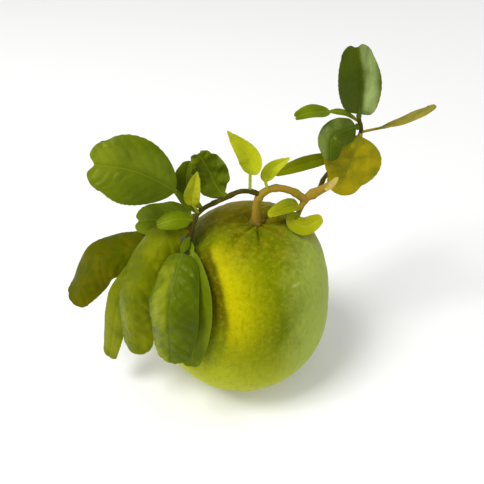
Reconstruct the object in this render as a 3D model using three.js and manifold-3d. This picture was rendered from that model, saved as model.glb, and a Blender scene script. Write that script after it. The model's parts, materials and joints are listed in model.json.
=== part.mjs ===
// A pomelo picked with its leafy stalk: one thick-skinned fruit, a little taller than wide, standing on a
// small flat spot at its blossom end. A woody stalk rises from the star-shaped calyx, arches over to the
// right and joins a short piece of cut branch. One shoot runs left over the fruit's shoulder and carries
// the hanging leaves, another rises from the branch at the right. Millimetres, +Z up, +X to the right, the
// flat spot on z = 0 at the origin.
import * as THREE from "three";
import { mergeVertices } from "three/addons/utils/BufferGeometryUtils.js";
import Module from "manifold-3d";

const wasm = await Module();
wasm.setup();

// Fruit
const FRUIT_RADIUS = 72;
const FRUIT_HEIGHT = 160;
const WIDEST_HEIGHT = 64;
const FLAT_SPOT_RADIUS = 17;
const SHOULDER_POWER = 0.72; // under 1 makes full shoulders
const STALK_LEAN = 12; // how far the stalk end has grown over to +X
const FURROWS = 9;
const FURROW_DEPTH = 2.4;
const FURROW_REACH = 24;
const FURROW_START = 5; // they begin this far from the stalk's axis
const FURROW_UNEVENNESS = 1.3; // how far they wander from even spacing
const TWO_LOBES = { share: 0.012, start: 0.6 }; // shares of the radius by which it is out of round
const THREE_LOBES = { share: 0.008, start: -1.1 };
const DIMPLE_DEPTH = 3.2;
const DIMPLE_RADIUS = 11;
const FRUIT_SIDES = 64;
const LOWER_RINGS = 10;
const UPPER_RINGS = 16;
const RING_CROWDING = 1.25; // over 1 draws the upper rings together towards the stalk
const FOOT_MIDDLE = [5, 3]; // the point inside the flat spot that its triangles meet in

// Calyx
const CALYX_CENTRE = [12, 2];
const CALYX_RADIUS = 7.5;
const CALYX_NARROWING = 0.62; // its radius at the top, as a share of that at its foot
const CALYX_LOBES = 5;
const CALYX_LOBE_DEPTH = 0.24;
const CALYX_FOOT = 154.5;
const CALYX_TOP = 161;
const CALYX_SIDES = 30;

// Leaves
const BLADE_THICKNESS = 0.8;
const RIB_THICKNESS = 1.5;
const PETIOLE_RADIUS = 1.2;
const CROWDED_RADIUS = 11; // round its foot a leaf's stalk is trimmed clear of its neighbours'
const LEAF_ROWS = 14;
const LEAF_COLUMNS = 6;
const OUTLINE_END = 0.86; // where along its outline curve the blade is closed by the apex
const WING_POWER = 1.6; // over 1 makes a stalk's wing widest above its middle
const APEX_START = 0.9; // the share of the apex that its curve takes up
const APEX_WIDTH = 0.94; // its width, as a share of the blade's end
const NOTCH_DEPTH = 0.45; // of a notched apex, for its length
const NOTCH_WIDTH = 0.25;
const WAVE_STARTS = { right: 0.7, left: 2.1 }; // the two margins' waves are out of step
const RIB_TAPER = 0.6; // the share of its thickness that the midrib loses to the tip
const FOLD_SPREAD = 1.5; // over 1 folds the blade fully before it is fully wide
const LEAST_CURL = 1e-6; // radians, for a leaf without curl

// Stems
const STEM_SIDES = 10;
const GAP = 0.3;

const COLOURS = {
  rind: 0x8f9a1c,
  calyx: 0x6f7440,
  bark: 0xa8863f,
  shoot: 0x4f5a22,
  leaf: 0x4f7014,
  young_leaf: 0x97a516,
  yellow_leaf: 0x938c10,
};

function material(slot, roughness) {
  return new THREE.MeshStandardMaterial({ color: COLOURS[slot], roughness, metalness: 0 });
}

const FINISHES = {
  rind: material("rind", 0.45),
  calyx: material("calyx", 0.8),
  bark: material("bark", 0.75),
  shoot: material("shoot", 0.6),
  leaf: material("leaf", 0.35),
  young_leaf: material("young_leaf", 0.4),
  yellow_leaf: material("yellow_leaf", 0.45),
};

const point = (p) => new THREE.Vector3(...p);

// A closed geometry as a solid, for joining and cutting.
function solidOf(geometry) {
  const bare = geometry.index ? geometry.clone() : geometry;
  for (const name of Object.keys(bare.attributes)) {
    if (name !== "position") bare.deleteAttribute(name);
  }
  const merged = mergeVertices(bare, 1e-4);
  return new wasm.Manifold(
    new wasm.Mesh({
      numProp: 3,
      vertProperties: new Float32Array(merged.attributes.position.array),
      triVerts: new Uint32Array(merged.index.array),
    }),
  );
}

// The largest body of a solid, as a geometry. Cuts can leave loose scraps, which are dropped.
function geometryOf(solid) {
  const largest = solid.decompose().sort((a, b) => b.volume() - a.volume())[0];
  const mesh = largest.getMesh();
  const positions = new Float32Array(mesh.numVert * 3);
  for (let i = 0; i < mesh.numVert; i++) {
    const start = i * mesh.numProp;
    positions.set(mesh.vertProperties.subarray(start, start + 3), i * 3);
  }
  const geometry = new THREE.BufferGeometry();
  geometry.setAttribute("position", new THREE.BufferAttribute(positions, 3));
  geometry.setIndex(new THREE.BufferAttribute(mesh.triVerts, 1));
  geometry.computeVertexNormals();
  return geometry;
}

// The fruit's outline: the height and radius at a turn from -90 degrees, at its foot, to 90, at the stalk.
function fruitOutline(turn) {
  if (turn < 0) {
    const foot = FLAT_SPOT_RADIUS / FRUIT_RADIUS;
    const depth = WIDEST_HEIGHT / Math.sqrt(1 - foot * foot);
    return { radius: FRUIT_RADIUS * Math.cos(turn), height: WIDEST_HEIGHT + depth * Math.sin(turn) };
  }
  return {
    radius: FRUIT_RADIUS * Math.cos(turn) ** SHOULDER_POWER,
    height: WIDEST_HEIGHT + (FRUIT_HEIGHT - WIDEST_HEIGHT) * Math.sin(turn),
  };
}

// A point on the rind: out of round by a few soft lobes, with creases that run into the stalk end.
function rindPoint(radius, height, angle) {
  const oval = TWO_LOBES.share * Math.cos(2 * angle + TWO_LOBES.start);
  const lobes = 1 + oval + THREE_LOBES.share * Math.cos(3 * angle + THREE_LOBES.start);
  const rise = Math.max(0, (height - WIDEST_HEIGHT) / (FRUIT_HEIGHT - WIDEST_HEIGHT));
  const crease = (0.5 + 0.5 * Math.cos(FURROWS * angle + FURROW_UNEVENNESS * Math.sin(2 * angle))) ** 3;
  const fading = Math.exp(-((radius / FURROW_REACH) ** 2));
  const nearStalk = fading * (1 - Math.exp(-((radius / FURROW_START) ** 2)));
  const dimple = DIMPLE_DEPTH * Math.exp(-((radius / DIMPLE_RADIUS) ** 2));
  const sunk = rise > 0 ? dimple + FURROW_DEPTH * crease * nearStalk : 0;
  return [
    STALK_LEAN * (height / FRUIT_HEIGHT) ** 3 + radius * lobes * Math.cos(angle),
    radius * lobes * Math.sin(angle),
    height - sunk,
  ];
}

function fruitGeometry(swell = 0) {
  const footTurn = -Math.acos(FLAT_SPOT_RADIUS / FRUIT_RADIUS);
  const outline = [new THREE.Vector2(0, -swell)];
  for (let i = 0; i <= LOWER_RINGS; i++) {
    const { radius, height } = fruitOutline(footTurn * (1 - i / LOWER_RINGS));
    outline.push(new THREE.Vector2(radius + swell, i ? height : -swell));
  }
  for (let i = 1; i <= UPPER_RINGS; i++) {
    const { radius, height } = fruitOutline((Math.PI / 2) * (1 - (1 - i / UPPER_RINGS) ** RING_CROWDING));
    outline.push(new THREE.Vector2(i < UPPER_RINGS ? radius + swell : 0, height));
  }
  const geometry = new THREE.LatheGeometry(outline, FRUIT_SIDES);
  const spots = geometry.attributes.position;
  for (let i = 0; i < spots.count; i++) {
    const [x, y, z] = [spots.getX(i), spots.getY(i), spots.getZ(i)];
    const [px, py, pz] = rindPoint(Math.hypot(x, z), y, Math.atan2(x, z));
    if (i % outline.length === 0) spots.setXYZ(i, ...FOOT_MIDDLE, -swell);
    else spots.setXYZ(i, px, py, y > 0 ? pz + swell : pz);
  }
  return geometry;
}

// A round stem along a smooth curve through the given points, its radius running through the given values.
function stemGeometry(points, radii, swell = 0, steps = 3) {
  const curve = new THREE.CatmullRomCurve3(points.map(point), false, "centripetal");
  const rings = (points.length - 1) * steps;
  const frames = curve.computeFrenetFrames(rings, false);
  const geometry = new THREE.CylinderGeometry(1, 1, 1, STEM_SIDES, rings);
  const spots = geometry.attributes.position;
  for (let i = 0; i < spots.count; i++) {
    const along = spots.getY(i) + 0.5;
    const ring = Math.round(along * rings);
    const place = along * (radii.length - 1);
    const before = Math.min(Math.floor(place), radii.length - 2);
    const radius = THREE.MathUtils.lerp(radii[before], radii[before + 1], place - before) + swell;
    const spot = curve.getPointAt(along);
    const beyond = along === 1 ? swell : along === 0 ? -swell : 0;
    spot.addScaledVector(frames.tangents[ring], beyond);
    spot.addScaledVector(frames.normals[ring], spots.getX(i) * radius);
    spot.addScaledVector(frames.binormals[ring], -spots.getZ(i) * radius);
    spots.setXYZ(i, spot.x, spot.y, spot.z);
  }
  return geometry;
}

// Each stem: the points it runs through and its radii. A side stem starts inside the one it grows from.
const STEMS = {
  stalk: {
    points: [
      [12, 2, 156], [11.6, 1, 166], [12, 1, 175], [15.5, 2, 183], [23, 4, 186.5], [32, 6, 185],
      [41, 8, 180], [48, 10, 173],
    ],
    radii: [4.4, 3.2, 2.9, 2.9, 2.6, 2.7, 2.9, 3.2],
  },
  branch: {
    points: [
      [43.5, 3, 162.5], [46, 6.5, 167.5], [50, 11, 172.5], [58, 15, 175.5], [68, 17.5, 180],
      [82, 21, 186.3],
    ],
    radii: [2.1, 2.3, 3.8, 3.1, 3.5, 3.6],
  },
  left_shoot: {
    points: [
      [15, 2, 182], [8, 1, 186], [-1, -2, 188], [-9, -3, 184.5], [-17, -3, 180], [-26, -5, 176],
      [-32, -8, 172], [-36, -13, 164], [-39.5, -18, 151],
    ],
    radii: [2.2, 1.8, 1.8, 1.9, 1.8, 1.7, 2, 2.3, 2.4],
  },
  right_shoot: {
    points: [
      [60, 16, 176], [64, 28, 177.5], [72, 41, 179], [82, 48, 185], [90, 50, 196], [93, 49.5, 208],
      [90, 49, 220],
    ],
    radii: [1.9, 1.7, 1.7, 1.8, 1.7, 1.7, 1.6],
  },
};

function stemSolid(name, swell = 0) {
  return solidOf(stemGeometry(STEMS[name].points, STEMS[name].radii, swell));
}

// A big block whose near face, seen along the normal, cuts a stem off.
function cutter(centre, normal) {
  const side = 40;
  const block = new THREE.BoxGeometry(side, side, side);
  const facing = point(normal).normalize();
  block.applyQuaternion(new THREE.Quaternion().setFromUnitVectors(new THREE.Vector3(0, 0, 1), facing));
  const middle = point(centre).addScaledVector(facing, side / 2);
  block.translate(middle.x, middle.y, middle.z);
  return solidOf(block);
}

const BRANCH_CUT = { centre: [69.5, 17.9, 180.6], normal: [0.62, -0.76, 0.2] };

// Each leaf: its midrib runs smoothly through the given points from foot to tip, and its upper face looks
// along facing. width is the blade's full width, joint the share of the length that is winged stalk, wing
// that wing's full width, widest where along the blade it is widest, fullness the power of its outline
// (lower is fuller), fold the rise of each half at the midrib and curl the further turn out to its margin,
// in degrees, twist the turn of the whole blade from foot to tip, wave the height of the margin's waves and
// waves how many there are.
const LEAVES = [
  {
    name: "leaf_large", finish: "leaf", on: "left_shoot", apex: "notched",
    midrib: [[-31.5, -7.5, 172.5], [-39, -8, 180], [-46, -8, 191], [-74, -8, 209.5], [-107, -8, 216]],
    facing: [0.1, -0.7, 0.7], width: 50, joint: 0.31, wing: 4, widest: 0.66, fullness: 0.4,
    fold: 6, curl: -14, twist: 0, wave: 0.8, waves: 1.5,
  },
  {
    name: "leaf_behind_large", finish: "leaf", on: "left_shoot", apex: "notched",
    midrib: [[-32.5, -8.5, 171], [-43, -2.5, 172.5], [-64, 3.5, 167.5], [-82.5, 6, 161.5]],
    facing: [-0.1, -0.7, 0.7], width: 37, joint: 0.16, wing: 3, widest: 0.7, fullness: 0.45,
    fold: 6, curl: -12, twist: 0, wave: 1.2, waves: 2.5,
  },
  {
    name: "leaf_upright_wing", finish: "leaf", on: "left_shoot", apex: "rounded",
    midrib: [[-28, -6, 175], [-36, 1, 180], [-40, 7, 193], [-37, 11, 206]],
    facing: [0, -0.8, 0.5], width: 19, joint: 0.26, wing: 3, widest: 0.6, fullness: 0.6,
    fold: 14, curl: 10, twist: 0, wave: 0.8, waves: 1.5,
  },
  {
    name: "leaf_crumpled", finish: "leaf", on: "left_shoot", apex: "notched",
    midrib: [[-10, -3, 184.5], [-16, -1, 189], [-23, 2, 204], [-31, 2, 220]],
    facing: [-0.1, -0.8, 0.5], width: 27, joint: 0.08, wing: 2, widest: 0.5, fullness: 0.4,
    fold: 10, curl: 16, twist: 8, wave: 2.4, waves: 2.5,
  },
  {
    name: "leaf_young_upright", finish: "young_leaf", on: "left_shoot", apex: "pointed",
    midrib: [[-31, -8, 173], [-34.5, -11, 185], [-33, -12, 198], [-30, -11, 211]],
    facing: [-0.2, -0.8, 0.5], width: 10.5, joint: 0.3, wing: 0, widest: 0.4, fullness: 0.7,
    fold: 16, curl: 10, twist: 0, wave: 0.4, waves: 1.5,
  },
  {
    name: "leaf_small_oval", finish: "young_leaf", on: "left_shoot", apex: "rounded",
    midrib: [[-34, -10.5, 168.5], [-48, -17, 174], [-61, -20, 171]],
    facing: [-0.2, -0.6, 0.8], width: 15, joint: 0.14, wing: 1, widest: 0.55, fullness: 0.6,
    fold: 4, curl: -30, twist: 0, wave: 0.4, waves: 1,
  },
  {
    name: "leaf_left", finish: "leaf", on: "left_shoot", apex: "rounded",
    midrib: [[-35, -11.5, 166.5], [-67, -1, 147], [-102.5, -3, 129.5], [-138.5, -14, 87.5]],
    facing: [-0.35, -0.5, 0.75], width: 34, joint: 0.3, wing: 3, widest: 0.55, fullness: 0.42,
    fold: -6, curl: -34, twist: -8, wave: 1.6, waves: 3,
  },
  {
    name: "leaf_hanging_outer", finish: "leaf", on: "left_shoot", apex: "rounded",
    midrib: [[-36, -12.5, 164.5], [-57, -16.5, 150.5], [-92, -24, 109], [-112, -31, 36.5]],
    facing: [-0.4, -0.75, 0.45], width: 22, joint: 0.14, wing: 3, widest: 0.62, fullness: 0.5,
    fold: 8, curl: -20, twist: 0, wave: 1, waves: 2,
  },
  {
    name: "leaf_hanging_broad", finish: "leaf", on: "left_shoot", apex: "rounded",
    midrib: [[-36.5, -14, 162], [-56, -21.5, 159], [-81.5, -41, 123], [-87.5, -51, 67]],
    facing: [-0.4, -0.75, 0.55], width: 47, joint: 0.12, wing: 4, widest: 0.44, fullness: 0.6,
    fold: -10, curl: -44, twist: 0, wave: 1.2, waves: 2,
  },
  {
    name: "leaf_hanging_front", finish: "leaf", on: "left_shoot", apex: "rounded",
    midrib: [[-37.5, -15, 158], [-42.5, -30, 153.5], [-50, -63, 132], [-48, -76, 84]],
    facing: [-0.3, -0.8, 0.5], width: 41, joint: 0.17, wing: 4, widest: 0.56, fullness: 0.36,
    fold: 0, curl: -44, twist: 0, wave: 0.8, waves: 2,
  },
  {
    name: "leaf_hanging_inner", finish: "leaf", on: "left_shoot", apex: "rounded",
    midrib: [[-38.5, -16.5, 154], [-35, -30, 151], [-30.5, -55, 129.5], [-38, -69.5, 72]],
    facing: [-0.1, -0.9, 0.4], width: 23, joint: 0.12, wing: 3, widest: 0.6, fullness: 0.6,
    fold: 12, curl: 12, twist: -8, wave: 0.8, waves: 2,
  },
  {
    name: "leaf_young_pointed", finish: "young_leaf", on: "left_shoot", apex: "pointed",
    midrib: [[7, 1, 186.5], [7, 2, 199], [7, 2, 213], [-9, 0, 237]],
    facing: [-0.25, -0.75, 0.6], width: 17, joint: 0.3, wing: 0, widest: 0.34, fullness: 0.8,
    fold: 10, curl: 8, twist: 0, wave: 0.5, waves: 1.5,
  },
  {
    name: "leaf_young_small", finish: "young_leaf", on: "stalk", apex: "pointed",
    midrib: [[20, 3.5, 186], [18.5, 5, 194.5], [23, 8, 201], [36, 11, 209]],
    facing: [-0.2, -0.75, 0.6], width: 11, joint: 0.26, wing: 0, widest: 0.36, fullness: 0.8,
    fold: 12, curl: 10, twist: 10, wave: 0.5, waves: 1.5,
  },
  {
    name: "leaf_young_folded", finish: "young_leaf", on: "branch", apex: "rounded",
    midrib: [[46, 6.5, 168.5], [35, 0, 172], [20.5, -5, 168]],
    facing: [0, -0.45, 0.9], width: 14, joint: 0.1, wing: 0, widest: 0.5, fullness: 0.65,
    fold: 26, curl: 16, twist: 0, wave: 0.5, waves: 1,
  },
  {
    name: "leaf_young_curved", finish: "young_leaf", on: "branch", apex: "rounded",
    midrib: [[44.8, 4.7, 165], [40, -3.5, 162.5], [47.5, -6, 158.5], [62, 0, 162.5]],
    facing: [0.05, -0.7, 0.7], width: 15, joint: 0.1, wing: 0, widest: 0.55, fullness: 0.6,
    fold: 8, curl: 26, twist: 0, wave: 0.6, waves: 1,
  },
  {
    name: "leaf_yellowing", finish: "yellow_leaf", on: "right_shoot", apex: "rounded",
    midrib: [[92.5, 48, 207], [91, 40, 204], [85.5, 34, 187], [77, 27, 165]],
    facing: [0.1, -0.85, 0.5], width: 46, joint: 0.08, wing: 0, widest: 0.55, fullness: 0.55,
    fold: 4, curl: -16, twist: 0, wave: 1, waves: 2,
  },
  {
    name: "leaf_top", finish: "leaf", on: "right_shoot", apex: "notched",
    midrib: [[90, 49, 219], [88.5, 49.5, 247], [81.5, 52, 278]],
    facing: [-0.3, -0.85, 0.4], width: 35, joint: 0.1, wing: 2, widest: 0.56, fullness: 0.35,
    fold: 24, curl: 8, twist: 0, wave: 0.6, waves: 1.5,
  },
  {
    name: "leaf_top_left", finish: "leaf", on: "right_shoot", apex: "notched",
    midrib: [[90, 49, 218.5], [79, 48.5, 225.5], [62, 44, 228.8], [52, 42, 228.8], [40, 40, 225.5]],
    facing: [0, -0.5, 0.86], width: 12.5, joint: 0.5, wing: 3.5, widest: 0.55, fullness: 0.6,
    fold: 10, curl: 14, twist: 0, wave: 0.4, waves: 1,
  },
  {
    name: "leaf_middle_left", finish: "leaf", on: "right_shoot", apex: "rounded",
    midrib: [[92, 49, 213.5], [82, 44, 213.5], [70, 38, 210], [69, 32, 193]],
    facing: [-0.3, -0.8, 0.5], width: 23, joint: 0.14, wing: 3, widest: 0.5, fullness: 0.5,
    fold: 8, curl: -20, twist: 0, wave: 0.6, waves: 1.5,
  },
  {
    name: "leaf_right", finish: "yellow_leaf", on: "right_shoot", apex: "rounded",
    midrib: [[93, 49, 208], [121, 50, 216], [147.5, 51, 229.5]],
    facing: [-0.3, 0.25, 0.9], width: 23, joint: 0.26, wing: 0, widest: 0.76, fullness: 0.6,
    fold: 4, curl: -8, twist: 0, wave: 0.4, waves: 1.5,
  },
  {
    name: "leaf_low_left", finish: "leaf", on: "right_shoot", apex: "pointed",
    midrib: [[82, 47.5, 185], [70, 44, 188], [52, 38, 187], [23, 27, 183.5]],
    facing: [0, -0.7, 0.7], width: 11.5, joint: 0.2, wing: 2, widest: 0.42, fullness: 0.75,
    fold: 8, curl: 8, twist: 0, wave: 0.6, waves: 2,
  },
];

const roundReach = (across) => Math.sqrt(1 - across * across);

// Apex shapes: how long each is for the blade's half width, and how far each place across it reaches.
const APEXES = {
  notched: {
    length: 0.5,
    reach: (across) => roundReach(across) - NOTCH_DEPTH * Math.exp(-((across / NOTCH_WIDTH) ** 2)),
  },
  rounded: { length: 0.55, reach: roundReach },
  pointed: { length: 0.9, reach: (across) => 1 - across },
};

// The half width of a leaf, winged stalk included, at a share of the length before its apex.
function halfWidth(leaf, share) {
  if (share < leaf.joint) {
    return PETIOLE_RADIUS + (leaf.wing / 2) * Math.sin(Math.PI * (share / leaf.joint) ** WING_POWER);
  }
  const blade = ((share - leaf.joint) / (1 - leaf.joint)) * OUTLINE_END;
  const power = Math.log(0.5) / Math.log(leaf.widest * OUTLINE_END);
  const outline = Math.sin(Math.PI * blade ** power) ** leaf.fullness;
  return PETIOLE_RADIUS + (leaf.width / 2 - PETIOLE_RADIUS) * outline;
}

// Bends a leaf along its midrib: gives a point on its upper (side 1) or lower (side -1) face. The last row
// of points draws the apex.
function leafSurface(leaf, swell) {
  const midrib = new THREE.CatmullRomCurve3(leaf.midrib.map(point), false, "centripetal");
  const apex = APEXES[leaf.apex];
  const apexShare = (apex.length * leaf.width * 0.5) / midrib.getLength();
  const radians = THREE.MathUtils.degToRad;
  return (row, across, side) => {
    const spread = Math.abs(across);
    const sign = Math.sign(across);
    const body = Math.min(1, (row * LEAF_ROWS) / (LEAF_ROWS - 1));
    const along = row < 1 ? body * (1 - apexShare) : 1 - APEX_START * apexShare * (1 - apex.reach(spread));
    const spot = midrib.getPointAt(along);
    const heading = midrib.getTangentAt(along);
    const normal = point(leaf.facing);
    normal.addScaledVector(heading, -normal.dot(heading)).normalize();
    normal.applyAxisAngle(heading, radians(leaf.twist) * along);
    const sideways = new THREE.Vector3().crossVectors(heading, normal);
    const width = halfWidth(leaf, body) * (row < 1 ? 1 : APEX_WIDTH) + swell;
    const fullness = (2 * width) / leaf.width;
    const fold = radians(leaf.fold) * Math.min(1, fullness * FOLD_SPREAD);
    const curl = radians(leaf.curl) * fullness || LEAST_CURL;
    const turn = fold + curl * spread;
    const out = (width * (Math.sin(turn) - Math.sin(fold))) / curl;
    const rise = (width * (Math.cos(fold) - Math.cos(turn))) / curl;
    const start = sign > 0 ? WAVE_STARTS.right : WAVE_STARTS.left;
    const ripple = Math.sin(2 * Math.PI * leaf.waves * along + start);
    const rib = side > 0 ? 0 : RIB_THICKNESS * (1 - spread) ** 2 * (1 - RIB_TAPER * along);
    const thickness = side * (BLADE_THICKNESS / 2 + rib + swell);
    spot.addScaledVector(sideways, sign * (out - Math.sin(turn) * thickness));
    const lift = rise + leaf.wave * fullness * spread ** 2 * ripple;
    spot.addScaledVector(normal, lift + Math.cos(turn) * thickness);
    return spot;
  };
}

// A closed sheet: the same grid of triangles on both faces and a wall round the rim.
function sheetGeometry(rows, columns, surface) {
  const across = columns + 1;
  const face = (rows + 1) * across;
  const positions = [];
  for (const side of [1, -1]) {
    for (let row = 0; row <= rows; row++) {
      for (let column = 0; column <= columns; column++) {
        positions.push(...surface(row / rows, (2 * column) / columns - 1, side).toArray());
      }
    }
  }
  const faces = [];
  for (let row = 0; row < rows; row++) {
    for (let column = 0; column < columns; column++) {
      const [a, b] = [row * across + column, row * across + column + 1];
      const [c, d] = [a + across, b + across];
      faces.push(a, b, d, a, d, c);
      faces.push(face + a, face + d, face + b, face + a, face + c, face + d);
    }
  }
  const rim = [];
  for (let column = 0; column < columns; column++) rim.push(column);
  for (let row = 0; row < rows; row++) rim.push(row * across + columns);
  for (let column = columns; column > 0; column--) rim.push(rows * across + column);
  for (let row = rows; row > 0; row--) rim.push(row * across);
  rim.forEach((from, i) => {
    const to = rim[(i + 1) % rim.length];
    faces.push(from, face + from, face + to, from, face + to, to);
  });
  const geometry = new THREE.BufferGeometry();
  geometry.setAttribute("position", new THREE.Float32BufferAttribute(positions, 3));
  geometry.setIndex(faces);
  return geometry;
}

function leafSolid(leaf, swell = 0) {
  return solidOf(sheetGeometry(LEAF_ROWS, LEAF_COLUMNS, leafSurface(leaf, swell)));
}

// A small star-shaped collar where the stalk meets the fruit.
function calyxSolid() {
  const geometry = new THREE.CylinderGeometry(CALYX_NARROWING, 1, CALYX_TOP - CALYX_FOOT, CALYX_SIDES, 2);
  const spots = geometry.attributes.position;
  for (let i = 0; i < spots.count; i++) {
    const [x, y, z] = [spots.getX(i), spots.getY(i), spots.getZ(i)];
    const lobe = 1 - CALYX_LOBE_DEPTH * (0.5 - 0.5 * Math.cos(CALYX_LOBES * Math.atan2(x, z)));
    const reach = CALYX_RADIUS * lobe;
    const level = (CALYX_TOP + CALYX_FOOT) / 2 + y;
    spots.setXYZ(i, CALYX_CENTRE[0] + x * reach, CALYX_CENTRE[1] - z * reach, level);
  }
  return solidOf(geometry);
}

function addMesh(group, name, finish, geometry) {
  const mesh = new THREE.Mesh(geometry, FINISHES[finish]);
  mesh.name = name;
  group.add(mesh);
}

function makePomelo() {
  const pomelo = new THREE.Group();
  const fruit = solidOf(fruitGeometry());
  const aroundFruit = solidOf(fruitGeometry(GAP));
  const beyondCut = cutter(BRANCH_CUT.centre, BRANCH_CUT.normal);
  const wood = stemSolid("stalk").add(stemSolid("branch")).subtract(beyondCut);
  const aroundWood = stemSolid("stalk", GAP).add(stemSolid("branch", GAP));
  addMesh(pomelo, "fruit", "rind", geometryOf(fruit));
  addMesh(pomelo, "stalk_and_branch", "bark", geometryOf(wood.subtract(aroundFruit)));
  addMesh(pomelo, "calyx", "calyx", geometryOf(calyxSolid().subtract(aroundFruit).subtract(aroundWood)));
  const around = { stalk: aroundWood, branch: aroundWood };
  for (const name of ["left_shoot", "right_shoot"]) {
    addMesh(pomelo, name, "shoot", geometryOf(stemSolid(name).subtract(aroundWood)));
    around[name] = stemSolid(name, GAP).add(aroundWood);
  }
  const placed = [];
  for (const leaf of LEAVES) {
    const nearFoot = solidOf(new THREE.IcosahedronGeometry(CROWDED_RADIUS, 1).translate(...leaf.midrib[0]));
    let solid = leafSolid(leaf).subtract(around[leaf.on]);
    for (const other of placed) solid = solid.subtract(other.intersect(nearFoot));
    placed.push(leafSolid(leaf, GAP));
    addMesh(pomelo, leaf.name, leaf.finish, geometryOf(solid));
  }
  return pomelo;
}

export default makePomelo();
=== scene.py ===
"""A pomelo picked with its leafy stalk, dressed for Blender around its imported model.

Sizes are in millimetres, as on the real fruit, and MM turns them into Blender's metres. Places
and scales in the materials are in metres. +Z is up, +X to the right, and the fruit stands on
z = 0 on its small flat spot.
"""
import json
import logging
import math
from contextlib import contextmanager
from dataclasses import dataclass, replace
from enum import Enum
from typing import Callable, Iterator, Optional, Sequence

import bpy
import numpy as np
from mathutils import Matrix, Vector


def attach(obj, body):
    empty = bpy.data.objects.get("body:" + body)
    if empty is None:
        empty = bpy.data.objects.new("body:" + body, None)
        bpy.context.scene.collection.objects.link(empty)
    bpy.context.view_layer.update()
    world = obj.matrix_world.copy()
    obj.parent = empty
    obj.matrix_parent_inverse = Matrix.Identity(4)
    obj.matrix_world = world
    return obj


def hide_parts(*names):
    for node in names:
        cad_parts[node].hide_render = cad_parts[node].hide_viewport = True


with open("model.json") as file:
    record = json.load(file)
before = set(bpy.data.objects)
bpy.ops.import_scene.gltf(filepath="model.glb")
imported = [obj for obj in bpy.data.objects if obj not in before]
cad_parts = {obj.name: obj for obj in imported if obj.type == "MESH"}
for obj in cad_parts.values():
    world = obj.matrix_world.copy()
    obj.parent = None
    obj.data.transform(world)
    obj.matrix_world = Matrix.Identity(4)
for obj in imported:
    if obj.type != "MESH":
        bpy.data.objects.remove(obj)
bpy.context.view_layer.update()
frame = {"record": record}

MM = 0.001
BODY = "root"
SHINE_TINT = (0.9, 1.0, 0.4, 1.0)  # wax gives the shine a green-yellow cast
LOG = logging.getLogger("pomelo")

SLOTS = {part["node"]: part["material_slot"] for part in frame["record"]["subparts"]}

Point = tuple[float, float, float]
Colour = tuple[float, float, float, float]
Piece = bpy.types.Object
Material = bpy.types.Material
Socket = bpy.types.NodeSocket
Array = np.ndarray


def paint(red: int, green: int, blue: int) -> Colour:
    """Turns a colour as a screen shows it, 0 to 255, into the linear one that a shader takes.

    Args:
        red, green, blue: the colour's parts.

    Returns:
        The linear colour, with full opacity.
    """
    parts = [value / 255 for value in (red, green, blue)]
    linear = [p / 12.92 if p <= 0.04045 else ((p + 0.055) / 1.055) ** 2.4 for p in parts]
    return (linear[0], linear[1], linear[2], 1.0)


def deselect_all() -> None:
    """Leaves no object selected, because an operator acts on all that is."""
    bpy.ops.object.select_all(action="DESELECT")


def take_up(piece: Piece) -> None:
    """Makes a piece the only selected object, and the one that operators act on.

    Args:
        piece: the mesh object.
    """
    deselect_all()
    piece.select_set(True)
    bpy.context.view_layer.objects.active = piece


@contextmanager
def editing(piece: Piece) -> Iterator[None]:
    """Opens a piece in edit mode, and closes it again at the end of the block.

    Args:
        piece: the mesh object.

    Returns:
        What a with statement needs.
    """
    take_up(piece)
    bpy.ops.object.mode_set(mode="EDIT")
    yield
    bpy.ops.object.mode_set(mode="OBJECT")


def newest(name: str) -> Piece:
    """Names the object that an operator has just added, and returns it.

    Args:
        name: its new name.

    Returns:
        The object.
    """
    piece = bpy.context.active_object
    piece.name = name
    piece.data.name = name
    return piece


def places(piece: Piece) -> Array:
    """Reads a mesh's vertex places, one row each, in Blender's metres.

    Args:
        piece: the mesh object.

    Returns:
        The places.
    """
    flat = np.empty(len(piece.data.vertices) * 3)
    piece.data.vertices.foreach_get("co", flat)
    return flat.reshape(-1, 3)


def put(piece: Piece, spots: Array) -> None:
    """Writes a mesh's vertex places, one row each, in Blender's metres."""
    piece.data.vertices.foreach_set("co", np.ascontiguousarray(spots, dtype=np.float32).ravel())
    piece.data.update()


def mark(piece: Piece, name: str, values: Array) -> None:
    """Stores three numbers for each vertex, which a material then reads.

    Args:
        piece: the mesh.
        name: the attribute's name.
        values: one row of three numbers for each vertex.
    """
    attribute = piece.data.attributes.new(name, "FLOAT_VECTOR", "POINT")
    attribute.data.foreach_set("vector", np.ascontiguousarray(values, dtype=np.float32).ravel())


def apply_modifiers(piece: Piece) -> None:
    """Applies every modifier of a piece, in order.

    Args:
        piece: the mesh object.
    """
    take_up(piece)
    for modifier in list(piece.modifiers):
        bpy.ops.object.modifier_apply(modifier=modifier.name)


def smooth_shade(piece: Piece, angle: float = 50.0) -> None:
    """Shades a piece smoothly, but for edges sharper than an angle in degrees.

    Args:
        piece: the mesh object.
        angle: the angle.
    """
    take_up(piece)
    bpy.ops.object.shade_smooth_by_angle(angle=math.radians(angle))


def hand_over(piece: Piece, node: str) -> None:
    """Rides a finished piece on the body, in place of its CAD node.

    Args:
        piece: the finished mesh object.
        node: the CAD node that it stands for.
    """
    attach(piece, BODY)
    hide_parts(node)
    LOG.info("%s: %d faces", piece.name, len(piece.data.polygons))


def bell(distance: Array, width: float) -> Array:
    """A smooth hump, 1 at no distance and fading out past the width."""
    return np.exp(-((distance / width) ** 2))


def step_between(low: float, high: float, value: Array) -> Array:
    """Rises smoothly from 0 at low to 1 at high."""
    share = np.clip((value - low) / (high - low), 0, 1)
    return share * share * (3 - 2 * share)


def unit(vectors: Array) -> Array:
    """Scales each row to length 1."""
    return vectors / np.linalg.norm(vectors, axis=-1, keepdims=True)


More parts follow.
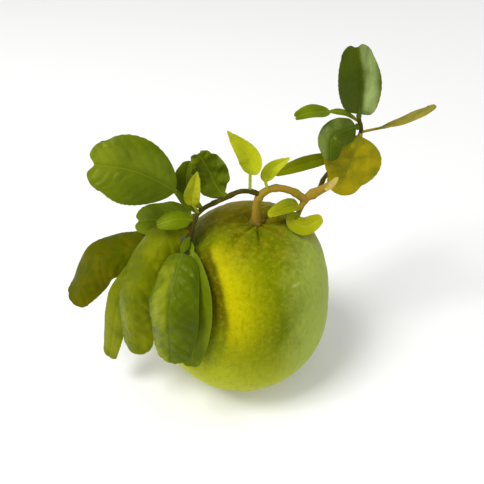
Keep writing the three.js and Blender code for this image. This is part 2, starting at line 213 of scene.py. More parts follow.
@dataclass(frozen=True)
class Ripples:
    """Soft unevenness: a sum of seeded sine waves through space, between about -1 and 1.

    Args:
        length: the typical wave length.
        seed: what the waves are drawn from.
        count: how many waves are added up.
    """

    length: float
    seed: int
    count: int = 14

    def at(self, spots: Array) -> Array:
        """Gives the height at each place.

        Args:
            spots: one row of coordinates for each place.

        Returns:
            One height for each row.
        """
        draw = np.random.default_rng(self.seed)
        ways = unit(draw.normal(size=(self.count, spots.shape[1])))
        lengths = self.length * draw.uniform(0.6, 1.6, self.count)
        starts = draw.uniform(0, 2 * math.pi, self.count)
        waves = np.sin(2 * math.pi * (spots @ ways.T) / lengths + starts)
        return waves.sum(axis=1) / math.sqrt(self.count)


class Spine:
    """A smooth line through a few points, read by the share of its length.

    Args:
        points: the points, in order.
    """

    STEPS = 80  # places worked out between two given points

    def __init__(self, points: Sequence[Point]) -> None:
        """Works out closely spaced places along the line.

        Args:
            points: the points, in order.
        """
        given = np.array(points, float)
        given = np.vstack([2 * given[0] - given[1], given, 2 * given[-1] - given[-2]])
        share = np.linspace(0, 1, self.STEPS + 1)[:-1, None]
        runs = [self._run(given[i : i + 4], share) for i in range(len(points) - 1)]
        self._places = np.vstack(runs + [given[-2]])
        steps = np.linalg.norm(np.diff(self._places, axis=0), axis=1)
        self._lengths = np.concatenate([[0], np.cumsum(steps)])
        self._headings = unit(np.gradient(self._places, self._lengths, axis=0))

    @staticmethod
    def _run(corners: Array, share: Array) -> Array:
        """The stretch between the middle two of four points, spaced by the roots of their distances.

        Args:
            corners: the four points.
            share: how far from the second to the third, one row each.

        Returns:
            The places, one row for each share.
        """
        before, start, end, after = corners
        gaps = np.sqrt(np.linalg.norm(np.diff(corners, axis=0), axis=1))
        leaving = (start - before) / gaps[0] - (end - before) / (gaps[0] + gaps[1]) + (end - start) / gaps[1]
        arriving = (end - start) / gaps[1] - (after - start) / (gaps[1] + gaps[2]) + (after - end) / gaps[2]
        leaving, arriving = leaving * gaps[1], arriving * gaps[1]
        square = -3 * start + 3 * end - 2 * leaving - arriving
        cube = 2 * start - 2 * end + leaving + arriving
        return start + leaving * share + square * share**2 + cube * share**3

    @property
    def length(self) -> float:
        """The whole length."""
        return float(self._lengths[-1])

    def _read(self, table: Array, share: Array) -> Array:
        """Reads a table of rows at shares of the length."""
        spots = np.asarray(share) * self.length
        return np.stack([np.interp(spots, self._lengths, table[:, axis]) for axis in range(3)], axis=-1)

    def at(self, share: Array) -> Array:
        """The places at shares of the length."""
        return self._read(self._places, share)

    def heading(self, share: Array) -> Array:
        """The line's direction at shares of the length."""
        return unit(self._read(self._headings, share))

    def frames(self, shares: Array) -> tuple[Array, Array]:
        """Two directions across the line at growing shares, turning as little as they can.

        Args:
            shares: the places along the line, from its start on.

        Returns:
            The first and the second direction, one row each for each share.
        """
        headings = self.heading(shares)
        side = np.cross(headings[0], (0.13, 0.71, 0.69))
        sides = []
        for heading in headings:
            side = side - heading * (side @ heading)
            side = side / np.linalg.norm(side)
            sides.append(side)
        first = np.array(sides)
        return first, np.cross(headings, first)

    def nearest(self, spot: Point) -> float:
        """The share of the length at which the line comes nearest to a place."""
        gaps = np.linalg.norm(self._places - np.array(spot), axis=1)
        return float(self._lengths[int(np.argmin(gaps))] / self.length)


class Coordinates(Enum):
    """What a pattern is laid out by."""

    OBJECT = "Object"
    LEAF = "leaf"
    SHARE = "share"
    STEM = "stem"


class Sheet:
    """Lays out the nodes of one material.

    Args:
        name: the material's name.
    """

    def __init__(self, name: str) -> None:
        """Starts with the plain shader and its output.

        Args:
            name: the material's name.
        """
        self.material = bpy.data.materials.new(name)
        self.material.use_nodes = True
        self.tree = self.material.node_tree
        self.shader = self.tree.nodes["Principled BSDF"]

    def node(self, kind: str, **settings: object) -> bpy.types.Node:
        """Adds a node and sets its options.

        Args:
            kind: the node's type.
            settings: its options, by name.

        Returns:
            The node.
        """
        made = self.tree.nodes.new(kind)
        for name, value in settings.items():
            setattr(made, name, value)
        return made

    def feed(self, socket: Socket, value: object) -> None:
        """Links a socket to another node's output, or sets its number.

        Args:
            socket: what is fed.
            value: the output or the number.
        """
        if isinstance(value, bpy.types.NodeSocket):
            self.tree.links.new(value, socket)
        else:
            socket.default_value = value

    def coordinates(self, kind: Coordinates) -> Socket:
        """The place on the piece, by the given layout.

        Args:
            kind: what the pattern is laid out by.

        Returns:
            The output that gives the place.
        """
        if kind is Coordinates.OBJECT:
            return self.node("ShaderNodeTexCoord").outputs["Object"]
        return self.node("ShaderNodeAttribute", attribute_name=kind.value).outputs["Vector"]

    def split(self, vector: Socket) -> tuple[Socket, ...]:
        """A vector's three parts.

        Args:
            vector: the vector.

        Returns:
            The parts' outputs.
        """
        parts = self.node("ShaderNodeSeparateXYZ")
        self.feed(parts.inputs[0], vector)
        return tuple(parts.outputs)

    def stretch(self, vector: Socket, scale: Point, centre: Point = (0, 0, 0)) -> Socket:
        """Centres a vector on a place and scales its parts.

        Args:
            vector: the vector.
            scale: what each part is multiplied by.
            centre: the place that becomes zero.

        Returns:
            The scaled vector.
        """
        moved = self.node("ShaderNodeVectorMath", operation="SUBTRACT")
        self.feed(moved.inputs[0], vector)
        moved.inputs[1].default_value = centre
        scaled = self.node("ShaderNodeVectorMath", operation="MULTIPLY")
        self.feed(scaled.inputs[0], moved.outputs[0])
        scaled.inputs[1].default_value = scale
        return scaled.outputs[0]

    def length(self, vector: Socket) -> Socket:
        """A vector's length.

        Args:
            vector: the vector.

        Returns:
            The length.
        """
        measured = self.node("ShaderNodeVectorMath", operation="LENGTH")
        self.feed(measured.inputs[0], vector)
        return measured.outputs["Value"]

    def maths(self, operation: str, *values: object) -> Socket:
        """A sum on one, two or three numbers.

        Args:
            operation: the sum.
            values: the numbers.

        Returns:
            The result.
        """
        made = self.node("ShaderNodeMath", operation=operation)
        for socket, value in zip(made.inputs, values):
            self.feed(socket, value)
        return made.outputs[0]

    def times(self, first: object, *others: object) -> Socket:
        """Numbers multiplied together, such as shares that all have to hold.

        Args:
            first, others: the numbers.

        Returns:
            Their product.
        """
        for other in others:
            first = self.maths("MULTIPLY", first, other)
        return first

    def noise(self, vector: Socket, scale: float, detail: float = 3.0) -> Socket:
        """Cloudy noise from 0 to 1, mostly near 0.5.

        Args:
            vector: where it is read.
            scale: how fine it is.
            detail: how many finer layers it has.

        Returns:
            The noise.
        """
        made = self.node("ShaderNodeTexNoise")
        self.feed(made.inputs["Vector"], vector)
        made.inputs["Scale"].default_value = scale
        made.inputs["Detail"].default_value = detail
        return made.outputs["Fac"]

    def cells(self, vector: Socket, scale: float, feature: str = "F1") -> Socket:
        """The distance to the nearest cell's centre, or to its edge.

        Args:
            vector: where it is read.
            scale: how small the cells are.
            feature: what the distance is measured to.

        Returns:
            The distance.
        """
        made = self.node("ShaderNodeTexVoronoi", feature=feature)
        self.feed(made.inputs["Vector"], vector)
        made.inputs["Scale"].default_value = scale
        return made.outputs["Distance"]

    def ease(
        self, value: object, low: float, high: float, start: float = 0.0, end: float = 1.0
    ) -> Socket:
        """Runs smoothly from start, where the value is low, to end, where it is high.

        Args:
            value: what it depends on.
            low, high: the values between which it runs.
            start, end: what it gives at each.

        Returns:
            The eased number.
        """
        made = self.node("ShaderNodeMapRange", interpolation_type="SMOOTHSTEP")
        for socket, number in zip(made.inputs, (value, low, high, start, end)):
            self.feed(socket, number)
        return made.outputs["Result"]

    def mix(self, share: object, first: object, second: object, mode: str = "MIX") -> Socket:
        """Mixes two colours by a share from 0 to 1.

        Args:
            share: how much of the second is taken.
            first, second: the colours.
            mode: how they are mixed.

        Returns:
            The mixed colour.
        """
        made = self.node("ShaderNodeMix", data_type="RGBA", blend_type=mode)
        self.feed(made.inputs[0], share)
        self.feed(made.inputs[6], first)
        self.feed(made.inputs[7], second)
        return made.outputs[2]

    def bump(self, height: object, depth: float, under: Optional[Socket] = None) -> Socket:
        """Turns a height from 0 to 1 into relief.

        Args:
            height: the height.
            depth: how deep the relief is, in millimetres.
            under: the relief that it lies on, if any.

        Returns:
            The relief, as a shader takes it.
        """
        made = self.node("ShaderNodeBump")
        self.feed(made.inputs["Height"], height)
        made.inputs["Distance"].default_value = depth * MM
        if under is not None:
            self.feed(made.inputs["Normal"], under)
        return made.outputs["Normal"]

    def finish(
        self,
        colour: object,
        roughness: object,
        normal: Optional[Socket] = None,
        **sockets: float,
    ) -> Material:
        """Feeds the shader and returns the material.

        Args:
            colour: the base colour, or the output that gives it.
            roughness: the roughness, or the output that gives it.
            normal: the relief, if any.
            sockets: further numbers for the shader, by socket name with _ for a space.

        Returns:
            The finished material.
        """
        self.feed(self.shader.inputs["Base Color"], colour)
        self.feed(self.shader.inputs["Roughness"], roughness)
        if normal is not None:
            self.feed(self.shader.inputs["Normal"], normal)
        self.shader.inputs["Specular Tint"].default_value = SHINE_TINT
        for name, value in sockets.items():
            self.shader.inputs[name.replace("_", " ").title().replace("Ior", "IOR")].default_value = value
        return self.material


@dataclass(frozen=True)
class RindFinish:
    """The fruit's rind: waxy and finely pitted, with a yellow streak and a paler grey-green painted sheen on
    one side.
    """

    olive: Colour = paint(117, 126, 0)
    green: Colour = paint(98, 112, 2)
    yellow: Colour = paint(180, 171, 0)
    gold: Colour = paint(156, 153, 1)
    # pale: the rind's pale mottles, and painted bounce light from the floor on its lower part
    pale: Colour = paint(186, 190, 40)
    # painted sheen: a paler grey-green that stands for light reflected off the east side
    painted_east_sheen: Colour = paint(156, 173, 74)
    # dark: darker mottles and pores, and painted shade in the creases round the stalk
    dark: Colour = paint(78, 78, 2)
    # brown: the rind's own browner tone round the stalk, and painted shade there and behind it
    brown: Colour = paint(116, 104, 3)
    mossy: Colour = paint(92, 104, 3)
    # painted shadow of the hanging leaves, beside the yellow streak
    painted_leaf_shadow: Colour = paint(88, 74, 1)
    scar: Colour = paint(176, 170, 96)
    speck: Colour = paint(86, 76, 20)

    CLOUDS = 34  # how many fit in a metre, as for the next four
    MOTTLE = 300
    PORES = 620
    SPECKS = 48
    BLOTCHES = 130
    GRAIN = (420, 420, 60)  # drawn out upwards
    GLOSS = (0.4, 0.56)  # the roughness, between the mottles and on them
    STREAK_FOOT = (-0.001, 0.110)  # east and height of the streak's lower end
    STREAK_BEND = 7.5  # how fast it bends to the west above that
    STALK_FOOT = (0.012, 0.0, 0.158)
    SCAR_PLACE = (0.0415, -0.0435, 0.1335)
    SCAR_SHAPE = (180, 180, 700)  # wide and low

    def build(self) -> Material:
        """Makes the material.

        Returns:
            The material.
        """
        sheet = Sheet("rind")
        place = sheet.coordinates(Coordinates.OBJECT)
        east, north, height = sheet.split(place)
        clouds = sheet.noise(place, self.CLOUDS, 4)
        mottle = sheet.noise(place, self.MOTTLE, 4)
        grain = sheet.noise(sheet.stretch(place, self.GRAIN), 1.0, 4)
        wobble = sheet.maths("MULTIPLY_ADD", clouds, 0.03, -0.015)
        colour = sheet.mix(sheet.ease(clouds, 0.35, 0.65), self.green, self.olive)
        # painted bounce light: paler towards the bottom, as if lit from the floor below
        low = sheet.ease(sheet.maths("ADD", height, wobble), 0.1, 0.03)
        colour = sheet.mix(sheet.times(low, 0.85), colour, self.pale)
        colour = self._streak(sheet, colour, east, north, height, wobble)
        # painted sheen: paler grey-green towards the east side, for light reflected off it there
        dull = sheet.ease(sheet.maths("ADD", east, wobble), 0.026, 0.054)
        colour = sheet.mix(sheet.times(dull, 0.8), colour, self.painted_east_sheen)
        colour = self._crown(sheet, colour, place, north, wobble)
        colour = sheet.mix(sheet.ease(mottle, 0.45, 0.75, 0.0, 0.2), colour, self.pale)
        colour = sheet.mix(sheet.ease(mottle, 0.5, 0.28, 0.0, 0.14), colour, self.dark)
        colour = sheet.mix(sheet.ease(grain, 0.52, 0.3, 0.0, 0.22), colour, self.green)
        pores = sheet.cells(place, self.PORES)
        colour = sheet.mix(sheet.ease(pores, 0.3, 0.05, 0.0, 0.26), colour, self.dark)
        scar_place = sheet.stretch(place, self.SCAR_SHAPE, self.SCAR_PLACE)
        colour = sheet.mix(sheet.ease(sheet.length(scar_place), 1.0, 0.5, 0.0, 0.6), colour, self.scar)
        specks = sheet.cells(place, self.SPECKS)
        colour = sheet.mix(sheet.ease(specks, 0.05, 0.025, 0.0, 0.4), colour, self.speck)
        relief = sheet.bump(sheet.noise(place, 130, 2), 0.4)
        relief = sheet.bump(sheet.ease(pores, 0.0, 0.45), 0.2, relief)
        relief = sheet.bump(sheet.noise(place, 900, 2), 0.08, relief)
        roughness = sheet.ease(mottle, 0.3, 0.7, *self.GLOSS)
        return sheet.finish(colour, roughness, relief, specular_ior_level=0.05)

    def _streak(
        self,
        sheet: Sheet,
        colour: Socket,
        east: Socket,
        north: Socket,
        height: Socket,
        wobble: Socket,
    ) -> Socket:
        """Lays the yellow streak down the front, with a dark brownish band along its west side that is
        painted shadow of the hanging leaves.

        Args:
            sheet: the material being laid out.
            colour: what lies under the streak.
            east, north, height: the place on the fruit.
            wobble: a soft unevenness for its edges.

        Returns:
            The colour with the streak on it.
        """
        over = sheet.maths("SUBTRACT", height, self.STREAK_FOOT[1])
        bend = sheet.times(sheet.times(over, over), self.STREAK_BEND)
        middle = sheet.maths("SUBTRACT", self.STREAK_FOOT[0], bend)
        away = sheet.maths("SUBTRACT", east, middle)
        away = sheet.maths("MULTIPLY_ADD", wobble, 0.3, away)
        front = sheet.ease(north, -0.012, -0.03)
        fading = sheet.times(sheet.ease(height, 0.085, 0.125), front, sheet.ease(height, 0.158, 0.147))
        # painted shadow: a dark band where the hanging leaves shade the streak's west side
        leaf_shadow_strip = sheet.times(sheet.ease(away, -0.03, -0.014), sheet.ease(away, -0.004, -0.009))
        colour = sheet.mix(sheet.times(leaf_shadow_strip, fading, 0.75), colour, self.painted_leaf_shadow)
        glow = sheet.times(sheet.ease(away, -0.01, -0.004), sheet.ease(away, 0.034, 0.004))
        long_fading = sheet.times(sheet.ease(height, 0.05, 0.125), front)
        colour = sheet.mix(sheet.times(glow, long_fading), colour, self.gold)
        core = sheet.times(sheet.ease(away, -0.011, -0.003), sheet.ease(away, 0.015, -0.004))
        return sheet.mix(sheet.times(core, fading), colour, self.yellow)

    def _crown(
        self,
        sheet: Sheet,
        colour: Socket,
        place: Socket,
        north: Socket,
        wobble: Socket,
    ) -> Socket:
        """Darkens the rind round the stalk, browner behind it and streaked outwards: round the stalk, partly
        the rind's own tone and partly painted shade from the stalk and leaves above; behind it, painted
        shade; and the streaks, painted shade in the creases.

        Args:
            sheet: the material being laid out.
            colour: what lies under it.
            place, north: the place on the fruit.
            wobble: a soft unevenness for its edges.

        Returns:
            The colour with the dark crown on it.
        """
        from_stalk = sheet.stretch(place, (1, 1, 1.6), self.STALK_FOOT)
        reach = sheet.maths("ADD", sheet.length(from_stalk), wobble)
        x, y, _ = sheet.split(from_stalk)
        angle = sheet.maths("ARCTAN2", y, x)
        rays = self._rays(sheet, angle, reach)
        crown = sheet.ease(reach, 0.056, 0.016)
        blotches = sheet.ease(sheet.noise(place, self.BLOTCHES, 4), 0.4, 0.6)
        # round the stalk: browner, partly the rind's own tone and partly painted shade from the stalk and
        # leaves above
        brown_tone_and_shade = sheet.mix(blotches, self.brown, self.mossy)
        colour = sheet.mix(sheet.times(crown, 0.75), colour, brown_tone_and_shade)
        # painted shade behind the stalk, where the leaves hang over it
        behind = sheet.times(sheet.ease(north, -0.012, 0.008), sheet.ease(reach, 0.09, 0.04))
        colour = sheet.mix(sheet.times(behind, 0.8), colour, self.brown)
        # painted shade in the creases that run out from the stalk
        return sheet.mix(sheet.times(rays, crown, 0.6), colour, self.dark)

    def _rays(self, sheet: Sheet, angle: Socket, reach: Socket) -> Socket:
        """Uneven dark lines that run out from the stalk, painted shade in the creases there, from 0 to 1.

        Args:
            sheet: the material being laid out.
            angle: the direction from the stalk.
            reach: the distance from it.

        Returns:
            The lines' strength.
        """
        joined = sheet.node("ShaderNodeCombineXYZ")
        sheet.feed(joined.inputs[0], sheet.maths("COSINE", angle))
        sheet.feed(joined.inputs[1], sheet.maths("SINE", angle))
        sheet.feed(joined.inputs[2], sheet.times(reach, 12.0))
        return sheet.ease(sheet.noise(joined.outputs[0], 4.5, 4), 0.5, 0.66)


@dataclass(frozen=True)
class BarkFinish:
    """Young bark: streaked along the stem, with small pale pores and greener stretches.

    Args:
        name: the material's name.
        base, streak, green, pore: its colours.
        roughness: how dull it is.
    """

    name: str
    base: Colour
    streak: Colour
    green: Colour
    pore: Colour
    roughness: float = 0.6

    FIBRES = (1.6, 0.12, 1.0)  # how dense they are round the stem and along it
    PORES = (0.8, 0.45, 1.0)
    PATCHES = 70

    def build(self) -> Material:
        """Makes the material.

        Returns:
            The material.
        """
        sheet = Sheet(self.name)
        place = sheet.coordinates(Coordinates.OBJECT)
        stem = sheet.coordinates(Coordinates.STEM)
        fibres = sheet.noise(sheet.stretch(stem, self.FIBRES), 1.0, 5)
        patches = sheet.noise(place, self.PATCHES, 3)
        colour = sheet.mix(sheet.ease(fibres, 0.3, 0.7), self.base, self.streak)
        colour = sheet.mix(sheet.ease(patches, 0.45, 0.7, 0.0, 0.75), colour, self.green)
        pores = sheet.cells(sheet.stretch(stem, self.PORES), 1.0)
        colour = sheet.mix(sheet.ease(pores, 0.2, 0.08, 0.0, 0.6), colour, self.pore)
        relief = sheet.bump(fibres, 0.3)
        relief = sheet.bump(sheet.ease(pores, 0.3, 0.05), 0.14, relief)
        roughness = sheet.ease(fibres, 0.3, 0.7, self.roughness - 0.08, self.roughness + 0.12)
        return sheet.finish(colour, roughness, relief, specular_ior_level=0.18)


@dataclass(frozen=True)
class CutFinish:
    """A fresh cut across the wood: pale, with faint darker mottling."""

    wood: Colour = paint(222, 202, 112)
    ring: Colour = paint(196, 168, 74)
    edge: Colour = paint(160, 142, 56)

    def build(self) -> Material:
        """Makes the material.

        Returns:
            The material.
        """
        sheet = Sheet("cut_wood")
        place = sheet.coordinates(Coordinates.OBJECT)
        grain = sheet.noise(place, 900, 4)
        colour = sheet.mix(sheet.ease(grain, 0.35, 0.65), self.wood, self.ring)
        colour = sheet.mix(sheet.ease(sheet.noise(place, 260, 2), 0.55, 0.75, 0.0, 0.6), colour, self.edge)
        return sheet.finish(colour, 0.7, sheet.bump(grain, 0.15))


@dataclass(frozen=True)
class CalyxFinish:
    """The dry green-brown collar under the stalk."""

    green: Colour = paint(100, 98, 26)
    brown: Colour = paint(104, 80, 26)

    def build(self) -> Material:
        """Makes the material.

        Returns:
            The material.
        """
        sheet = Sheet("calyx")
        place = sheet.coordinates(Coordinates.OBJECT)
        grain = sheet.noise(place, 420, 5)
        colour = sheet.mix(sheet.ease(grain, 0.38, 0.62), self.green, self.brown)
        return sheet.finish(colour, 0.75, sheet.bump(grain, 0.35), specular_ior_level=0.1)


@dataclass(frozen=True)
class LeafFinish:
    """One kind of leaf: a glossy face with paler veins, cloudy between them, and a dull, paler back.

    Args:
        name: the material's name.
        blade: the face's main colour.
        deep: its darker clouds.
        light: its yellower clouds, strongest towards the tip and margin, and also the painted light on the
            swellings between the side veins.
        vein: its veins.
        back: the underside.
        tip: how much the tip turns to the light colour, from 0 to 1.
        patches: how much of the face the light clouds cover, from 0 to 1.
        gloss: the roughness of the face.
        shine: how strongly the face mirrors.
        rib: how clearly the midrib shows, from 0 to 1.
        sheen: how far a paler painted sheen covers one half, standing for how light falls on and glances off
            it, from 0 to 1.
        cast: the colour of that painted sheen.
    """

    name: str
    blade: Colour
    deep: Colour
    light: Colour
    vein: Colour
    back: Colour
    tip: float = 0.4
    patches: float = 0.3
    gloss: float = 0.27
    shine: float = 0.2
    rib: float = 0.3
    sheen: float = 0.0
    cast: Colour = paint(164, 182, 112)

    CLOUDS = 40  # how many fit in a metre, as for the next three
    SPOTS = 110
    FINE = 420
    BACK_CLOUDS = 90
    STREAKS = (110, 110, 24)  # drawn out upwards
    SHEEN_START = (0.5, 5.0)  # millimetres from the midrib between which the painted sheen sets in
    SHEEN_END = (20.0, 12.0)  # those between which it fades out again

    def _veins(self, sheet: Sheet) -> tuple[Socket, ...]:
        """The strength of the midrib, of the side veins and of the net between them.

        Args:
            sheet: the material being laid out.

        Returns:
            The three strengths, each from 0 to 1.
        """
        leaf = sheet.coordinates(Coordinates.LEAF)
        across, _, phase = sheet.split(leaf)
        outward = sheet.maths("ABSOLUTE", across)
        midrib = sheet.ease(outward, 0.55, 0.12)
        wrapped = sheet.maths("ABSOLUTE", sheet.maths("SUBTRACT", sheet.maths("FRACT", phase), 0.5))
        side = sheet.ease(wrapped, 0.06, 0.0)
        net = sheet.cells(sheet.stretch(leaf, (0.6, 0.6, 0.0)), 1.0, "DISTANCE_TO_EDGE")
        return midrib, side, sheet.ease(net, 0.09, 0.0)

    def _sheen(self, sheet: Sheet, place: Socket, clouds: Socket) -> Socket:
        """The strength of the painted sheen, a paler colour for how light falls on one half: on that half,
        streaked and cloudy.

        Args:
            sheet: the material being laid out.
            place: the place on the piece.
            clouds: the noise that clouds it.

        Returns:
            The strength, from 0 to 1.
        """
        across, _, _ = sheet.split(sheet.coordinates(Coordinates.LEAF))
        half = sheet.times(sheet.ease(across, *self.SHEEN_START), sheet.ease(across, *self.SHEEN_END))
        streaks = sheet.noise(sheet.stretch(place, self.STREAKS), 1.0, 2)
        cloudy = sheet.ease(sheet.maths("ADD", streaks, clouds), 0.5, 1.35)
        return sheet.times(half, cloudy, self.sheen)

    def face(self) -> Material:
        """Makes the upper side's material.

        Returns:
            The material.
        """
        sheet = Sheet(self.name)
        place = sheet.coordinates(Coordinates.OBJECT)
        along, outward, _ = sheet.split(sheet.coordinates(Coordinates.SHARE))
        midrib, side, net = self._veins(sheet)
        clouds = sheet.noise(place, self.CLOUDS, 2)
        fine = sheet.noise(place, self.FINE, 4)
        colour = sheet.mix(sheet.ease(clouds, 0.35, 0.65), self.deep, self.blade)
        near_tip = sheet.ease(along, 0.35, 1.0)
        worn = sheet.maths("MULTIPLY_ADD", near_tip, self.tip, sheet.times(clouds, 0.4))
        colour = sheet.mix(sheet.ease(worn, 0.25, 0.8, 0.0, 0.7), colour, self.light)
        spots = sheet.noise(place, self.SPOTS, 4)
        edge = 0.75 - 0.4 * self.patches
        colour = sheet.mix(sheet.ease(spots, edge - 0.15, edge + 0.1, 0.0, self.patches), colour, self.light)
        # painted light: slightly lighter where the blade swells between the side veins
        between = sheet.ease(sheet.maths("ADD", side, sheet.times(midrib, 0.5)), 0.5, 0.0)
        colour = sheet.mix(sheet.times(between, 0.16), colour, self.light)
        colour = sheet.mix(sheet.ease(fine, 0.55, 0.35, 0.0, 0.12), colour, self.deep)
        # painted sheen: one half paler, for how light falls on and glances off it
        if self.sheen:
            colour = sheet.mix(self._sheen(sheet, place, clouds), colour, self.cast)
        colour = sheet.mix(sheet.times(net, 0.05), colour, self.light)
        colour = sheet.mix(sheet.times(side, 0.1), colour, self.vein)
        colour = sheet.mix(sheet.times(midrib, self.rib), colour, self.vein)
        colour = sheet.mix(sheet.ease(outward, 0.965, 1.0, 0.0, 0.25), colour, self.vein)
        relief = sheet.bump(net, -0.05)
        relief = sheet.bump(fine, 0.012, relief)
        roughness = sheet.ease(fine, 0.35, 0.65, self.gloss, self.gloss + 0.08)
        return sheet.finish(colour, roughness, relief, specular_ior_level=self.shine)

    def underside(self) -> Material:
        """Makes the lower side's material.

        Returns:
            The material.
        """
        sheet = Sheet(self.name + "_back")
        place = sheet.coordinates(Coordinates.OBJECT)
        midrib, side, net = self._veins(sheet)
        clouds = sheet.noise(place, self.BACK_CLOUDS, 4)
        colour = sheet.mix(sheet.ease(clouds, 0.35, 0.65), self.back, self.blade)
        colour = sheet.mix(0.65, colour, self.back)
        colour = sheet.mix(sheet.times(net, 0.3), colour, self.deep)
        colour = sheet.mix(sheet.times(side, 0.6), colour, self.vein)
        colour = sheet.mix(sheet.times(midrib, 0.8), colour, self.vein)
        relief = sheet.bump(sheet.maths("ADD", side, sheet.times(net, 0.4)), 0.12)
        return sheet.finish(colour, 0.55, relief, specular_ior_level=0.2)


class LeafKind(Enum):
    """The finishes that the leaves come in."""

    # Kinds with a sheen carry a painted sheen over one half of the face, standing for how light falls on and
    # glances off it.
    MATURE = LeafFinish(
        "leaf", paint(78, 95, 1), paint(60, 78, 1), paint(116, 126, 8), paint(140, 150, 36),
        paint(116, 128, 40), tip=0.35, patches=0.2, shine=0.13,
    )
    LARGE = LeafFinish(
        "leaf_large", paint(68, 86, 1), paint(54, 72, 1), paint(120, 131, 10), paint(140, 150, 36),
        paint(116, 128, 40), tip=0.4, patches=0.15, shine=0.13, sheen=0.3, cast=paint(128, 142, 34),
    )
    HANGING = LeafFinish(
        "leaf_hanging", paint(74, 92, 1), paint(58, 76, 1), paint(108, 118, 6), paint(140, 150, 36),
        paint(116, 128, 40), tip=0.2, patches=0.1, gloss=0.22, shine=0.11, rib=0.16, sheen=0.85,
        cast=paint(134, 140, 20),
    )
    DARK = LeafFinish(
        "leaf_dark", paint(62, 80, 2), paint(48, 66, 1), paint(92, 106, 6), paint(112, 128, 34),
        paint(108, 122, 42), tip=0.1, patches=0.1, gloss=0.22, shine=0.2, sheen=0.5,
        cast=paint(132, 148, 76),
    )
    SHEENED = LeafFinish(
        "leaf_sheened", paint(62, 78, 2), paint(46, 62, 1), paint(94, 106, 6), paint(112, 128, 34),
        paint(108, 122, 42), tip=0.15, patches=0.15, gloss=0.22, shine=0.22, sheen=0.8,
    )
    OLIVE = LeafFinish(
        "leaf_olive", paint(104, 112, 1), paint(78, 90, 1), paint(132, 134, 6), paint(148, 152, 34),
        paint(132, 138, 42), tip=0.25, patches=0.25, shine=0.05, rib=0.16,
    )
    BRONZE = LeafFinish(
        "leaf_bronze", paint(84, 77, 0), paint(62, 70, 0), paint(100, 105, 2), paint(118, 118, 26),
        paint(122, 122, 40), tip=0.15, patches=0.25, shine=0.02, rib=0.15,
    )
    FRESH = LeafFinish(
        "leaf_fresh", paint(100, 118, 2), paint(78, 96, 2), paint(124, 136, 8), paint(148, 160, 44),
        paint(130, 144, 46), tip=0.2, patches=0.2, gloss=0.3, shine=0.1,
    )
    YOUNG = LeafFinish(
        "leaf_young", paint(142, 148, 3), paint(116, 126, 2), paint(168, 166, 10), paint(180, 182, 54),
        paint(156, 162, 42), tip=0.4, patches=0.3, gloss=0.36,
    )
    BUDDING = LeafFinish(
        "leaf_budding", paint(168, 176, 6), paint(132, 148, 4), paint(196, 194, 22), paint(200, 202, 74),
        paint(174, 180, 48), tip=0.4, patches=0.3, gloss=0.4,
    )
    YELLOWING = LeafFinish(
        "leaf_yellowing", paint(130, 122, 1), paint(92, 94, 1), paint(164, 148, 3), paint(156, 146, 28),
        paint(146, 140, 42), tip=0.35, patches=0.6, gloss=0.38,
    )


